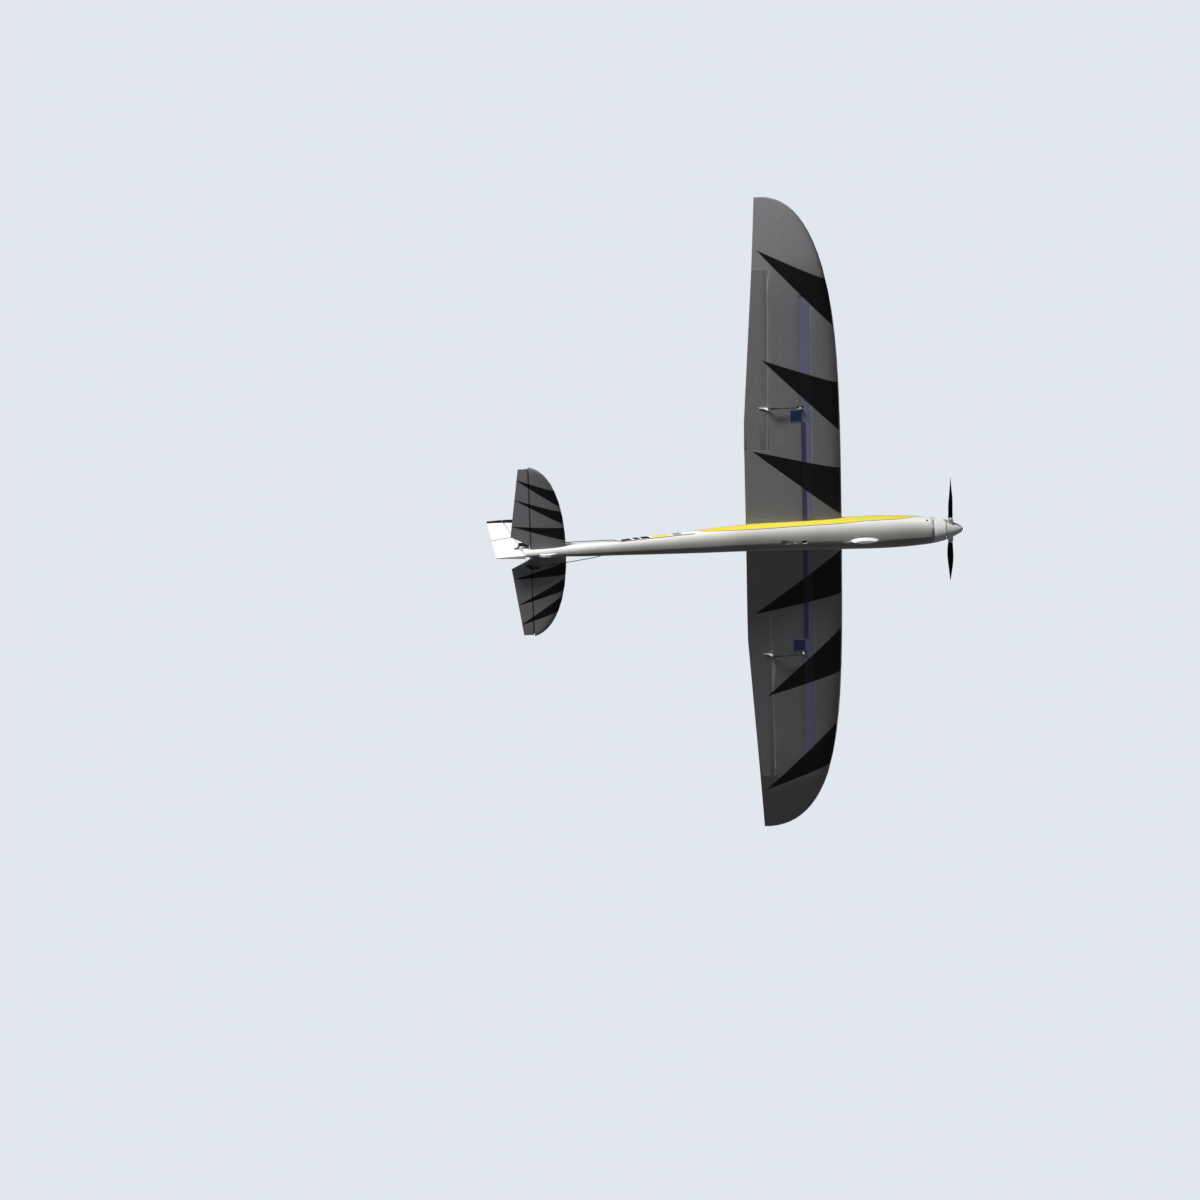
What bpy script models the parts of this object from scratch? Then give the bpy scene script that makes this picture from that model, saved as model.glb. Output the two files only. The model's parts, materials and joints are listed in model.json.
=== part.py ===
"""Electric foam glider of 1.5 m span, as the separate pieces it comes apart into.

Sizes are millimetres: x sideways (left wing +), station aft of the spinner's tip, height above the
fuselage's reference line. Finished pieces are metres: nose towards -Y, left wing +X, +Z up, with the
origin under the middle of the model, level with the flat sole of its belly skid.
"""
import math

import bmesh
import bpy
from mathutils import Matrix, Vector

MM = 0.001
GAP = 0.3
LENGTH = 990.0
GROUND = -41.0
TO_WORLD = Matrix.Scale(MM, 4) @ Matrix.Translation((0.0, -LENGTH / 2, -GROUND))

# Propeller and motor
THRUST_LINE = -3.0
SPINNER_END = 37.0
SPINNER_RADIUS = 20.7
SPINNER_WALL = 1.6
HUB_STATION = 28.0
BLADE_PIN = 23.5
PROP_RADIUS = 121.0
EAR_RADIUS = 5.4
TAB_HALF = 2.5
SHAFT_RADIUS = 2.0
PIN_HOLE = 1.8
PIN_RADIUS = 1.5
YOKE_HALF = 5.5
COWL_FRONT = 38.0
COWL_END = 63.0

# Fuselage: station, height of the section's centre, half width, half height
FUSELAGE = (
    (38, -3.0, 21.5, 21.5),
    (63, -3.3, 26.5, 27.0),
    (110, -1.0, 31.5, 32.5),
    (170, 1.0, 34.0, 35.5),
    (240, 2.5, 33.5, 34.5),
    (330, 4.0, 31.5, 32.5),
    (440, 3.0, 28.5, 29.5),
    (540, -3.0, 24.5, 26.0),
    (640, -8.5, 20.0, 21.5),
    (720, -13.5, 16.0, 17.0),
    (790, -16.5, 13.0, 15.0),
    (860, -12.0, 10.5, 19.0),
    (935, -7.5, 7.5, 23.5),
)
FUSELAGE_STATIONS = (63.3, 72, 84, 97, 110, 125, 145, 170, 195, 220, 238, 256, 290, 330, 385, 440, 490,
                     540, 590, 640, 680, 720, 755, 790, 815, 840, 860, 885, 910, 935)
HALF_SIDES = 16
SPLIT = 0.15
FRONT_BAY = (
    (60, -3.0, 19.5, 19.5),
    (80, -2.0, 22.0, 22.0),
    (115, -0.5, 25.0, 25.5),
    (170, 1.0, 26.0, 27.0),
    (255, 2.5, 25.0, 26.0),
)
REAR_BAY = (
    (262, 3.0, 18.0, 26.0),
    (365, 2.5, 18.0, 25.0),
    (470, 0.5, 17.5, 21.0),
)
BAY_EXPONENT = 4.0
HATCH_EDGE = ((80, 28.5), (84, 24.5), (96, 21.5), (120, 19.5), (168, 18.0), (224, 18.0), (238, 20.5),
              (246, 26.0), (250.5, 38.0))
CANOPY_WALL = 2.8
SKID_STATION = 208.0
VENT_STATION = 334.0
SCREW_STATION = 362.0
SCREW_HOLE = 1.9

# Wing
WING_ROOT = 20.0
WING_TIP = 750.0
WING_HEIGHT = 12.0
DIHEDRAL = math.radians(2.5)
WING_SPANS = (20, 60, 130, 196, 260, 330, 400, 450, 500, 550, 602, 630, 655, 676, 694, 708, 720,
              730, 738, 744, 748, 750)
FOIL_STEPS = 14
JOINER_STATION = 325.0
JOINER_RADIUS = 4.0
JOINER_REACH = 180.0
AILERON_INNER = (196.0, 404.0)
AILERON_OUTER = (602.0, 398.0)
HINGE_GAP = 0.6
LINKAGE_SPAN = 292.0
LINKAGE_LENGTH = 66.5
HORN_RADIUS = 15.0
SPAR_BAND = (315.5, 334.5)
COVER_SPAN = (258.0, 288.0)
COVER_BAND = (331.0, 358.0)
FILM = 0.8
HORN_HALF = 0.8
LINK_HOLE = 1.2
ARM_HALF = 0.8

# Tail
TAIL_HEIGHT = -16.0
STAB_ROOT = 7.0
STAB_TIP = 203.0
STAB_SPANS = (7, 40, 80, 115, 140, 158, 172, 182, 190, 196, 200.5)
ELEVATOR_HINGE = 904.0
ELEVATOR_RADIUS = 3.0
ELEVATOR_HORN_SPAN = 30.0
TAIL_HORN_RADIUS = 12.0
STAB_ROD_STATION = 865.0
STAB_ROD_RADIUS = 2.0
JOINER_WIRE_RADIUS = 1.5
ROOT_END = 38.0
RUDDER_FOOT = (917.0, -35.0)
RUDDER_HEAD = (960.0, 124.0)
FIN_LEADING = ((-9, 776), (0, 786), (12, 812), (25, 833), (45, 853), (80, 880), (110, 901), (124, 917))
FIN_HEIGHTS = (-9, 0, 6, 12, 18, 25, 35, 45, 62, 80, 95, 110, 119, 124)
RUDDER_HORN_HEIGHT = -7.0
RUDDER_HORN_REACH = 14.5

# Radio gear inside the fuselage
ROD_SIDE = 13.5
ROD_HEIGHT = -13.0
ROD_RADIUS = 0.8
SERVO_AXIS = -2.7
SERVO_ARM = 10.3
ELEVATOR_SERVO_STATION = 300.0
RUDDER_SERVO_STATION = 340.0
TRAY_TOP = -12.5
BATTERY_HALF = 17.0
BATTERY_HEIGHT = 24.0
STRAP = 1.2
SERVO_TRAY_TOP = -9.0
PLY = 2.0
SERVO_SIDE = 14.4
ARM_SIDE = 14.7
TUBE_START = 474.0
TUBE_RADIUS = 1.6
TUBE_BORE = 1.2


# ---------------------------------------------------------------- tools

def hermite(start, end, leaving, arriving, t):
    """A value between start and end, with given slopes at both."""
    return ((2 * t**3 - 3 * t**2 + 1) * start + (t**3 - 2 * t**2 + t) * leaving
            + (3 * t**2 - 2 * t**3) * end + (t**3 - t**2) * arriving)


def read(rows, place):
    """The values at a place, on a smooth curve through rows of (place, value, ...)."""
    last = len(rows) - 2
    index = next((i for i in range(last) if place < rows[i + 1][0]), last)
    before = rows[max(index - 1, 0)]
    start = rows[index]
    end = rows[index + 1]
    after = rows[min(index + 2, last + 1)]
    step = end[0] - start[0]
    values = []
    for column in range(1, len(start)):
        leaving = (end[column] - before[column]) / (end[0] - before[0]) * step
        arriving = (after[column] - start[column]) / (after[0] - start[0]) * step
        values.append(hermite(start[column], end[column], leaving, arriving, (place - start[0]) / step))
    return values


def loft(rings):
    """A closed body: the first ring's face is extruded through every other ring in turn."""
    bm = bmesh.new()
    face = bm.faces.new([bm.verts.new(place) for place in rings[0]])
    for number, ring in enumerate(rings[1:]):
        grown = bmesh.ops.extrude_face_region(bm, geom=[face])
        if number:
            bm.faces.remove(face)
        face = next(item for item in grown["geom"] if isinstance(item, bmesh.types.BMFace))
        for vert, place in zip(face.verts, ring):
            vert.co = place
    bmesh.ops.recalc_face_normals(bm, faces=bm.faces)
    return bm


def block(low, high):
    """A box between two corners."""
    bm = bmesh.new()
    bmesh.ops.create_cube(bm, size=1.0)
    low = Vector(low)
    high = Vector(high)
    bmesh.ops.scale(bm, vec=high - low, verts=bm.verts)
    bmesh.ops.translate(bm, vec=(low + high) / 2, verts=bm.verts)
    return bm


def soft_block(low, high, radius):
    """A box with bevelled edges."""
    bm = block(low, high)
    bmesh.ops.bevel(bm, geom=bm.edges[:], offset=radius, affect="EDGES", segments=1, profile=0.5,
                    material=-1)
    return bm


def rod(start, end, radius, sides=12):
    """A cylinder from start to end."""
    start = Vector(start)
    end = Vector(end)
    bm = bmesh.new()
    bmesh.ops.create_cone(bm, cap_ends=True, segments=sides, radius1=radius, radius2=radius,
                          depth=(end - start).length)
    turn = (end - start).to_track_quat("Z", "Y").to_matrix().to_4x4()
    bmesh.ops.transform(bm, matrix=Matrix.Translation((start + end) / 2) @ turn, verts=bm.verts)
    return bm


def wire(points, radius, sides=8):
    """A round wire through the points, mitred at its bends."""
    points = [Vector(point) for point in points]
    runs = [(after - before).normalized() for before, after in zip(points, points[1:])]
    turn = runs[0].to_track_quat("Z", "Y")
    spokes = [
        turn @ Vector((radius * math.cos(angle), radius * math.sin(angle), 0))
        for angle in (math.tau * step / sides for step in range(sides))
    ]
    rings = [[points[0] + spoke for spoke in spokes]]
    for point, arriving, leaving in zip(points[1:], runs, runs[1:] + runs[-1:]):
        mitre = arriving + leaving
        rings.append([point + spoke - arriving * spoke.dot(mitre) / arriving.dot(mitre) for spoke in spokes])
        spokes = [arriving.rotation_difference(leaving) @ spoke for spoke in spokes]
    return loft(rings)


def turned(profile, sides=32, height=THRUST_LINE):
    """A closed (station, radius) outline spun round the propeller's axis."""
    bm = bmesh.new()
    verts = [bm.verts.new((0, station, height + radius)) for station, radius in profile]
    sides_of_profile = zip(verts, verts[1:] + verts[:1])
    edges = [bm.edges.new(pair) for pair in sides_of_profile if max(vert.co.z for vert in pair) > height]
    bmesh.ops.spin(bm, geom=verts + edges, cent=(0, 0, height), axis=(0, 1, 0), angle=math.tau,
                   steps=sides, use_merge=True)
    bmesh.ops.remove_doubles(bm, verts=bm.verts, dist=0.001)
    bmesh.ops.dissolve_degenerate(bm, edges=bm.edges, dist=0.001)
    bmesh.ops.recalc_face_normals(bm, faces=bm.faces)
    return bm


def sheet(outline, thickness, place):
    """A plate of an (a, b) outline; place turns (a, b, side) into a point."""
    return loft([[place(a, b, side) for a, b in outline] for side in thickness])


def upright(a, b, side):
    """A plate in the plane of the keel: station, height, and x through its thickness."""
    return Vector((side, a, b))


def level(a, b, side):
    """A flat plate: x, station, and height through its thickness."""
    return Vector((a, b, side))


def across(a, b, side):
    """A plate across the fuselage: x, height, and station through its thickness."""
    return Vector((a, side, b))


def plan(a, b, side):
    """A flat plate: station, x, and height through its thickness."""
    return Vector((b, a, side))


def arc(centre, radius, start, end, steps):
    """Points on an arc, angles in degrees."""
    return [
        (centre[0] + radius * math.cos(math.radians(start + (end - start) * step / steps)),
         centre[1] + radius * math.sin(math.radians(start + (end - start) * step / steps)))
        for step in range(steps + 1)
    ]


def capsule(start, end, radius, steps=5):
    """The outline of a slot along the first axis, from one round end's centre to the other's."""
    return arc((end, 0), radius, -90, 90, steps) + arc((start, 0), radius, 90, 270, steps)


def combined(base, tool, operation="DIFFERENCE"):
    """The base cut by the tool, joined with it, or kept only where they meet."""
    pieces = []
    for shape in (base, tool):
        mesh = bpy.data.meshes.new("working")
        shape.to_mesh(mesh)
        shape.free()
        piece = bpy.data.objects.new("working", mesh)
        bpy.context.scene.collection.objects.link(piece)
        pieces.append(piece)
    modifier = pieces[0].modifiers.new("shape", "BOOLEAN")
    modifier.operation = operation
    modifier.object = pieces[1]
    evaluated = pieces[0].evaluated_get(bpy.context.evaluated_depsgraph_get())
    result = bmesh.new()
    result.from_mesh(evaluated.to_mesh())
    for piece in pieces:
        mesh = piece.data
        bpy.data.objects.remove(piece)
        bpy.data.meshes.remove(mesh)
    bmesh.ops.remove_doubles(result, verts=result.verts, dist=0.0005)
    bmesh.ops.dissolve_degenerate(result, edges=result.edges, dist=0.0005)
    return result


def cut(base, *tools):
    """The base with every tool taken out of it."""
    for tool in tools:
        base = combined(base, tool)
    return base


def joined(base, *tools):
    """The base and every tool as one body."""
    for tool in tools:
        base = combined(base, tool, "UNION")
    return base


def moved(bm, matrix):
    """The shape carried by a matrix."""
    bmesh.ops.transform(bm, matrix=matrix, verts=bm.verts)
    return bm


def material(name, colour, roughness, metallic=0.0):
    """A plain finish for one kind of stuff."""
    stuff = bpy.data.materials.new(name)
    stuff.use_nodes = True
    shader = stuff.node_tree.nodes["Principled BSDF"]
    shader.inputs["Base Color"].default_value = (*colour, 1.0)
    shader.inputs["Roughness"].default_value = roughness
    shader.inputs["Metallic"].default_value = metallic
    stuff.diffuse_color = (*colour, 1.0)
    return stuff


def piece(name, bm, stuff, pivot=(0.0, 0.0, 0.0)):
    """The finished object, in metres, with its origin on the given point."""
    origin = TO_WORLD @ Vector(pivot)
    bmesh.ops.transform(bm, matrix=Matrix.Translation(-origin) @ TO_WORLD, verts=bm.verts)
    mesh = bpy.data.meshes.new(name)
    bm.to_mesh(mesh)
    bm.free()
    mesh.materials.append(stuff)
    mesh.shade_smooth()
    mesh.set_sharp_from_angle(angle=math.radians(35))
    obj = bpy.data.objects.new(name, mesh)
    obj.location = origin
    bpy.context.scene.collection.objects.link(obj)
    return obj


# ---------------------------------------------------------------- outlines that pieces share

def body_ring(station, shrink=0.0):
    """The fuselage's whole section at a station, drawn in by the wall's thickness."""
    centre, wide, high = read(FUSELAGE, station)
    return [
        Vector(((wide - shrink) * math.cos(angle), station, centre + (high - shrink) * math.sin(angle)))
        for angle in (math.pi * (step / HALF_SIDES - 0.5) for step in range(2 * HALF_SIDES))
    ]


def half_ring(station, side):
    """One half of the fuselage's section, flat on the joint between the halves."""
    ring = body_ring(station)[:HALF_SIDES + 1]
    return [Vector((side * max(point.x, SPLIT), point.y, point.z)) for point in ring]


def bay_ring(rows, station, grow=0.0):
    """A rounded-square section of the hollow at a station."""
    centre, wide, high = read(rows, station)
    ring = []
    for step in range(28):
        angle = math.tau * (step + 0.5) / 28
        reach = (abs(math.cos(angle))**BAY_EXPONENT + abs(math.sin(angle))**BAY_EXPONENT)**(-1 / BAY_EXPONENT)
        ring.append(Vector(((wide + grow) * reach * math.cos(angle), station,
                            centre + (high + grow) * reach * math.sin(angle))))
    return ring


def front_bay(grow=0.0):
    """The hollow under the canopy."""
    return loft([bay_ring(FRONT_BAY, station, grow) for station in (60, 80, 115, 170, 215, 255)])


def rear_bay(grow=0.0):
    """The hollow under the wing."""
    return loft([bay_ring(REAR_BAY, station, grow) for station in (262, 315, 365, 420, 470)])


def above_hatch_edge(lift):
    """Everything above the canopy's lower edge."""
    edge = [(station, height + lift) for station, height in HATCH_EDGE]
    roof = [(HATCH_EDGE[-1][0], 60), (HATCH_EDGE[0][0], 60)]
    return sheet(edge + roof, (-50, 50), upright)


def wing_edges(span):
    """Leading and trailing edge stations of the wing."""
    share = span / (WING_TIP + 1)
    front = 253 + 169 * (1 - (1 - share**4)**0.4)
    return front, 453 - 0.064 * max(span - 250, 0)


def wing_line(span):
    """Height of the wing's chord line."""
    upturn = max(span - 585, 0) / 165
    return WING_HEIGHT + span * math.tan(DIHEDRAL) + 27.8 * upturn**1.3


def foil(share, thickness, camber):
    """Camber line and half thickness of the wing's section, as shares of its chord."""
    half = 5 * thickness * (0.2969 * math.sqrt(share) - 0.126 * share - 0.3516 * share**2
                            + 0.2843 * share**3 - 0.1036 * share**4)
    peak = 0.4
    if share < peak:
        rise = camber / peak**2 * (2 * peak * share - share**2)
    else:
        rise = camber / (1 - peak)**2 * (1 - 2 * peak + 2 * peak * share - share**2)
    return rise, half


def wing_skin(span, station):
    """Heights of the lower and upper skin."""
    front, back = wing_edges(span)
    chord = back - front
    share = min(max((station - front) / chord, 0), 1)
    rise, half = foil(share, 0.115, 0.02)
    middle = wing_line(span) + chord * rise
    return middle - chord * half - 0.5 * share, middle + chord * half + 0.5 * share


def foil_shares():
    """Shares of the chord where a section has points, close together at the nose."""
    return [(1 - math.cos(math.pi * step / FOIL_STEPS)) / 2 for step in range(FOIL_STEPS + 1)]


def wing_ring(side, span, grow=0.0):
    """The wing's section at a span, grown all round for the pocket it plugs into."""
    front, back = wing_edges(span)
    upper = []
    lower = []
    for share in foil_shares():
        low, high = wing_skin(span, front + share * (back - front))
        station = front - grow + share * (back - front + 2 * grow)
        lift = grow if share > 0 else 0
        upper.append(Vector((side * span, station, high + lift)))
        lower.append(Vector((side * span, station, low - lift)))
    return upper[::-1] + lower[1:]


def aileron_axis(span):
    """Station, height and half thickness of the aileron's hinge line at a span."""
    ends = []
    for place, station in (AILERON_INNER, AILERON_OUTER):
        low, high = wing_skin(place, station)
        ends.append((station, (low + high) / 2, (high - low) / 2))
    share = (span - AILERON_INNER[0]) / (AILERON_OUTER[0] - AILERON_INNER[0])
    return [first + share * (second - first) for first, second in zip(*ends)]


def skin_band(side, stations, spans, inside, outside):
    """A strip that follows the wing's lower skin."""
    first, last = stations
    places = (first, (first + last) / 2, last)
    rings = []
    for span in spans:
        heights = [wing_skin(span, station)[0] for station in places]
        inner = [Vector((side * span, s, h + inside)) for s, h in zip(places, heights)]
        outer = [Vector((side * span, s, h - outside)) for s, h in zip(places, heights)]
        rings.append(inner + outer[::-1])
    return loft(rings)


def linkage_frame(side):
    """Local axes on the aileron's hinge at the horn: outboard, aft and up."""
    station, height, _ = aileron_axis(LINKAGE_SPAN)
    inner = Vector((AILERON_INNER[0], *aileron_axis(AILERON_INNER[0])[:2]))
    outer = Vector((AILERON_OUTER[0], *aileron_axis(AILERON_OUTER[0])[:2]))
    out = (outer - inner).normalized()
    up = out.cross(Vector((0, 1, 0))).normalized()
    aft = up.cross(out)
    turn = Matrix((out, aft, up)).transposed().to_4x4()
    place = Matrix.Translation((LINKAGE_SPAN, station, height)) @ turn
    return place if side > 0 else Matrix.Diagonal((-1, 1, 1, 1)) @ place


def linkage_piece(side, bm):
    """A shape drawn in the linkage's local axes, put on its wing."""
    moved(bm, linkage_frame(side))
    bmesh.ops.recalc_face_normals(bm, faces=bm.faces)
    return bm


def joiner_line(radius, reach):
    """The bent rod that follows both wings' dihedral."""
    low, high = wing_skin(WING_ROOT, JOINER_STATION)
    middle = (low + high) / 2
    rings = []
    for span in (-reach, 0, reach):
        rings.append([
            Vector((span, JOINER_STATION + radius * math.cos(angle),
                    middle + abs(span) * math.tan(DIHEDRAL) + radius * math.sin(angle)))
            for angle in (math.tau * step / 12 for step in range(12))
        ])
    return loft(rings)


def stab_front(span):
    """Leading edge of the tailplane."""
    share = span / STAB_TIP
    return 829 + 93 * (1 - (1 - share**2.2)**0.4)


def stab_back(span):
    """Trailing edge of the elevator."""
    return 943 - 21 * (span - 40) / (STAB_TIP - 40)


def stab_ring(side, span, grow=0.0):
    """The fixed tailplane's section, blunt at the elevator's hinge."""
    front = stab_front(span) - grow
    back = ELEVATOR_HINGE - ELEVATOR_RADIUS - HINGE_GAP + grow
    half = min(4.0, 0.16 * (back - front) + 1.0) + grow
    upper = [
        (front + (back - front) * share, half * rise)
        for share, rise in ((1, 0.8), (0.7, 0.97), (0.45, 1), (0.25, 0.92), (0.13, 0.74), (0.055, 0.5),
                            (0.015, 0.27), (0, 0))
    ]
    lower = [(station, -height) for station, height in upper[-2::-1]]
    return [Vector((side * span, station, TAIL_HEIGHT + height)) for station, height in upper + lower]


def rudder_axis(height):
    """Station of the rudder's hinge line at a height."""
    share = (height - RUDDER_FOOT[1]) / (RUDDER_HEAD[1] - RUDDER_FOOT[1])
    return RUDDER_FOOT[0] + share * (RUDDER_HEAD[0] - RUDDER_FOOT[0])


def fin_half(height):
    """Half thickness of the fin and of the rudder's nose."""
    return 4.0 - 1.4 * max(height, 0) / RUDDER_HEAD[1]


def fin_ring(height, grow=0.0):
    """The fin's section: an elliptic nose, then parallel sides to the rudder's hinge."""
    front = read(FIN_LEADING, height)[0] - grow
    half = fin_half(height) + grow
    back = rudder_axis(height) - fin_half(height) - HINGE_GAP - 0.2 + grow
    right = [
        (half * rise, front + (back - front) * share)
        for share, rise in ((1, 1), (0.34, 1), (0.22, 0.95), (0.12, 0.78), (0.05, 0.52), (0.015, 0.28),
                            (0, 0))
    ]
    left = [(-x, station) for x, station in right[-2::-1]]
    return [Vector((x, station, height)) for x, station in right + left]


# ---------------------------------------------------------------- propeller

def spinner_radius(station):
    """The spinner's outside radius."""
    return SPINNER_RADIUS * (station / SPINNER_END)**0.62


def pin_bar(side, half, radius):
    """A bar along a blade's pin, long enough for the pin or for its hole."""
    return rod((side * BLADE_PIN, HUB_STATION, THRUST_LINE - half),
               (side * BLADE_PIN, HUB_STATION, THRUST_LINE + half), radius)


def make_propeller(stuff):
    """Nut, spinner, back plate, yoke, shaft and the motor's turning bell."""
    axis = (0, HUB_STATION, THRUST_LINE)
    nut = turned([(0, 0), (0.7, 1.5), (2.5, 2.6), (4.2, 3.2), (11, 3.2), (11, 0)], 16)
    piece("spinner_nut", nut, stuff["bright_metal"], axis)

    stations = (4.5, 6, 8, 11, 14.5, 18.5, 23, 27.5, 32, 37)
    outside = [(station, spinner_radius(station)) for station in stations]
    inside = [(station, spinner_radius(station) - SPINNER_WALL) for station in (37, 29, 22, 16, 11)]
    shell = turned(outside + inside + [(7.5, 3.6), (4.5, 3.6)], 48)
    notch = block((-30, 20.5, THRUST_LINE - 6.6), (30, 38, THRUST_LINE + 6.6))
    piece("spinner_cone", cut(shell, notch), stuff["white_plastic"], axis)

    plate = turned([(34.7, 2.3), (34.7, 17.7), (36.2, 17.7), (36.2, 2.3)], 28)
    piece("spinner_backplate", plate, stuff["white_plastic"], axis)

    bar = sheet([(x, HUB_STATION + y) for x, y in capsule(-BLADE_PIN, BLADE_PIN, EAR_RADIUS)],
                (THRUST_LINE - YOKE_HALF, THRUST_LINE + YOKE_HALF), level)
    boss = turned([(16, 0), (16, 7.2), (33.6, 7.2), (33.6, 0)], 24)
    slots = [
        block((side * 15.8 if side > 0 else -40, 15, THRUST_LINE - TAB_HALF - GAP),
              (40 if side > 0 else side * 15.8, 40, THRUST_LINE + TAB_HALF + GAP))
        for side in (1, -1)
    ]
    pins = [pin_bar(side, YOKE_HALF + 3, PIN_HOLE) for side in (1, -1)]
    bore = turned([(14, 0), (14, 2.3), (36, 2.3), (36, 0)], 16)
    yoke = cut(joined(bar, boss), *slots, *pins, bore)
    piece("propeller_yoke", yoke, stuff["white_plastic"], axis)

    shaft = turned([(17, 0), (17, SHAFT_RADIUS), (71, SHAFT_RADIUS), (71, 0)], 16)
    piece("motor_shaft", shaft, stuff["bright_metal"], axis)
    bell = [(47.5, 12.7), (47.5, 14), (69, 14), (70, 13), (70, 2.3), (68.4, 2.3), (68.4, 12.7)]
    piece("motor_bell", turned(bell, 32), stuff["dark_metal"], axis)


def blade_ring(reach):
    """One section of the blade: a square tab at the pin, then a twisted flat oval."""
    tab_end = 8.5
    away = reach - BLADE_PIN
    if away < tab_end:
        half = EAR_RADIUS - 0.8
        along = math.sqrt(max(half**2 - min(away, 0)**2, 1.0))
        wide, thick, pitch, exponent = along, TAB_HALF, math.radians(90), 5.0
    else:
        share = (away - tab_end) / (PROP_RADIUS - BLADE_PIN - tab_end)
        rows = ((0, 4.7, 2.4, 88), (0.07, 6.6, 2.1, 46), (0.2, 10.2, 1.5, 32), (0.45, 12.2, 1.1, 24),
                (0.7, 9.0, 0.8, 18), (0.9, 4.2, 0.6, 14), (1.0, 0.9, 0.4, 12))
        wide, thick, degrees = read(rows, share)
        pitch = math.radians(degrees)
        exponent = 2.0
    ring = []
    for step in range(16):
        angle = math.tau * (step + 0.5) / 16
        along = math.copysign(abs(math.cos(angle))**(2 / exponent), math.cos(angle)) * wide
        through = math.copysign(abs(math.sin(angle))**(2 / exponent), math.sin(angle)) * thick
        ring.append(Vector((reach, HUB_STATION + along * math.sin(pitch) - through * math.cos(pitch),
                            THRUST_LINE + along * math.cos(pitch) + through * math.sin(pitch))))
    return ring


def make_blades(stuff):
    """The two folding blades and the pins they swing on; the right one is the left one turned round."""
    inner = [BLADE_PIN - 4.4, BLADE_PIN - 3.4, BLADE_PIN - 1.8, BLADE_PIN, BLADE_PIN + 8.2]
    outer = [33.5, 38, 44, 52, 60, 69, 78, 87, 95, 102, 108, 113, 117, 119.5, PROP_RADIUS]
    half_turn = (Matrix.Translation((0, 0, THRUST_LINE)) @ Matrix.Rotation(math.pi, 4, "Y")
                 @ Matrix.Translation((0, 0, -THRUST_LINE)))
    for name, side in (("left", 1), ("right", -1)):
        pivot = (side * BLADE_PIN, HUB_STATION, THRUST_LINE)
        blade = loft([blade_ring(reach) for reach in inner + outer])
        blade = cut(blade, pin_bar(1, YOKE_HALF + 3, PIN_HOLE))
        if side < 0:
            moved(blade, half_turn)
        piece(f"blade_{name}", blade, stuff["black_plastic"], pivot)
        pin = pin_bar(side, YOKE_HALF + 0.4, PIN_RADIUS)
        piece(f"blade_pin_{name}", pin, stuff["bright_metal"], (0, HUB_STATION, THRUST_LINE))


# ---------------------------------------------------------------- nose

def make_nose(stuff):
    """Cowl with its two cooling scoops, the motor's plate and its stator."""
    shell = loft([body_ring(station) for station in (COWL_FRONT, 40, 43, 47, 52, 57, COWL_END)])
    scoops = []
    ducts = []
    for side in (1, -1):
        rings = []
        for station, size, out in ((39.2, 3.4, 0), (45, 3.5, 0.2), (51, 2.8, 0.4), (56, 1.4, 0.4)):
            centre, wide, _ = read(FUSELAGE, station)
            rings.append([
                Vector((side * (wide - 1.8 + out + size * math.cos(angle)), station,
                        centre + 3 + 1.8 * size * math.sin(angle)))
                for angle in (math.tau * step / 12 for step in range(12))
            ])
        scoops.append(loft(rings))
        ducts.append(rod((side * 21.6, 36, 0), (side * 15.5, 52, 0), 2.4, 10))
    motor_room = turned([(41, 0), (41, 18.2), (66, 18.2), (66, 0)], 32)
    shaft_hole = turned([(30, 0), (30, 5.5), (45, 5.5), (45, 0)], 20)
    piece("nose_cowl", cut(joined(shell, *scoops), motor_room, shaft_hole, *ducts), stuff["white_plastic"])

    plate = turned([(41.4, 5.2), (41.4, 15), (43.2, 15), (43.2, 5.2)], 28)
    piece("motor_plate", plate, stuff["bright_metal"])
    stator = turned([(43.5, 2.6), (43.5, 12), (46.8, 12), (46.8, 10.8), (66, 10.8), (66, 2.6)], 28)
    piece("motor_stator", stator, stuff["copper"])


# ---------------------------------------------------------------- fuselage

def rod_points(side):
    """The bends of a control rod, from its servo to just before its clevis."""
    if side > 0:
        return [(ROD_SIDE, ELEVATOR_SERVO_STATION - 3, ROD_HEIGHT), (ROD_SIDE, 742, ROD_HEIGHT),
                (18.5, 770, -18), (ELEVATOR_HORN_SPAN, 890, TAIL_HEIGHT - TAIL_HORN_RADIUS)]
    return [(-ROD_SIDE, RUDDER_SERVO_STATION - 3, ROD_HEIGHT), (-ROD_SIDE, 712, ROD_HEIGHT),
            (-17.8, 733, -12), (-RUDDER_HORN_REACH, 908, RUDDER_HORN_HEIGHT)]


def tail_bar(reach, station, radius):
    """A bar across the tailplane, from side to side."""
    return rod((-reach, station, TAIL_HEIGHT), (reach, station, TAIL_HEIGHT), radius)


def tail_end():
    """Everything behind the fuselage's slanted end, which clears the rudder's nose."""
    rings = []
    for height in (-70, 70):
        front = rudder_axis(height) - fin_half(0) - HINGE_GAP - 0.2
        rings.append([Vector((-40, front, height)), Vector((40, front, height)),
                      Vector((40, front + 90, height)), Vector((-40, front + 90, height))])
    return loft(rings)


def belly_skid(grow):
    """The lens-shaped skid, down to its flat sole."""
    rings = []
    sections = ((-31.5 + grow, 60, 13), (-34.5, 58, 12.5), (-39, 50, 9), (GROUND, 44, 6.5))
    for height, length, width in sections:
        half = length / 2 + grow
        rings.append([
            Vector((math.copysign(abs(math.sin(angle))**1.3, math.sin(angle)) * (width / 2 + grow),
                    SKID_STATION + half * math.cos(angle), height))
            for angle in (math.tau * step / 20 for step in range(20))
        ])
    return loft(rings)


def tail_skid(grow):
    """The small skid under the tail."""
    outline = [(847 - grow, -27.5 + grow), (887 + grow, -27.5 + grow), (882 + grow, -33), (874, -36.5),
               (862, -36.5), (847 - grow, -30.5)]
    return sheet(outline, (-2.6 - grow, 2.6 + grow), upright)


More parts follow.
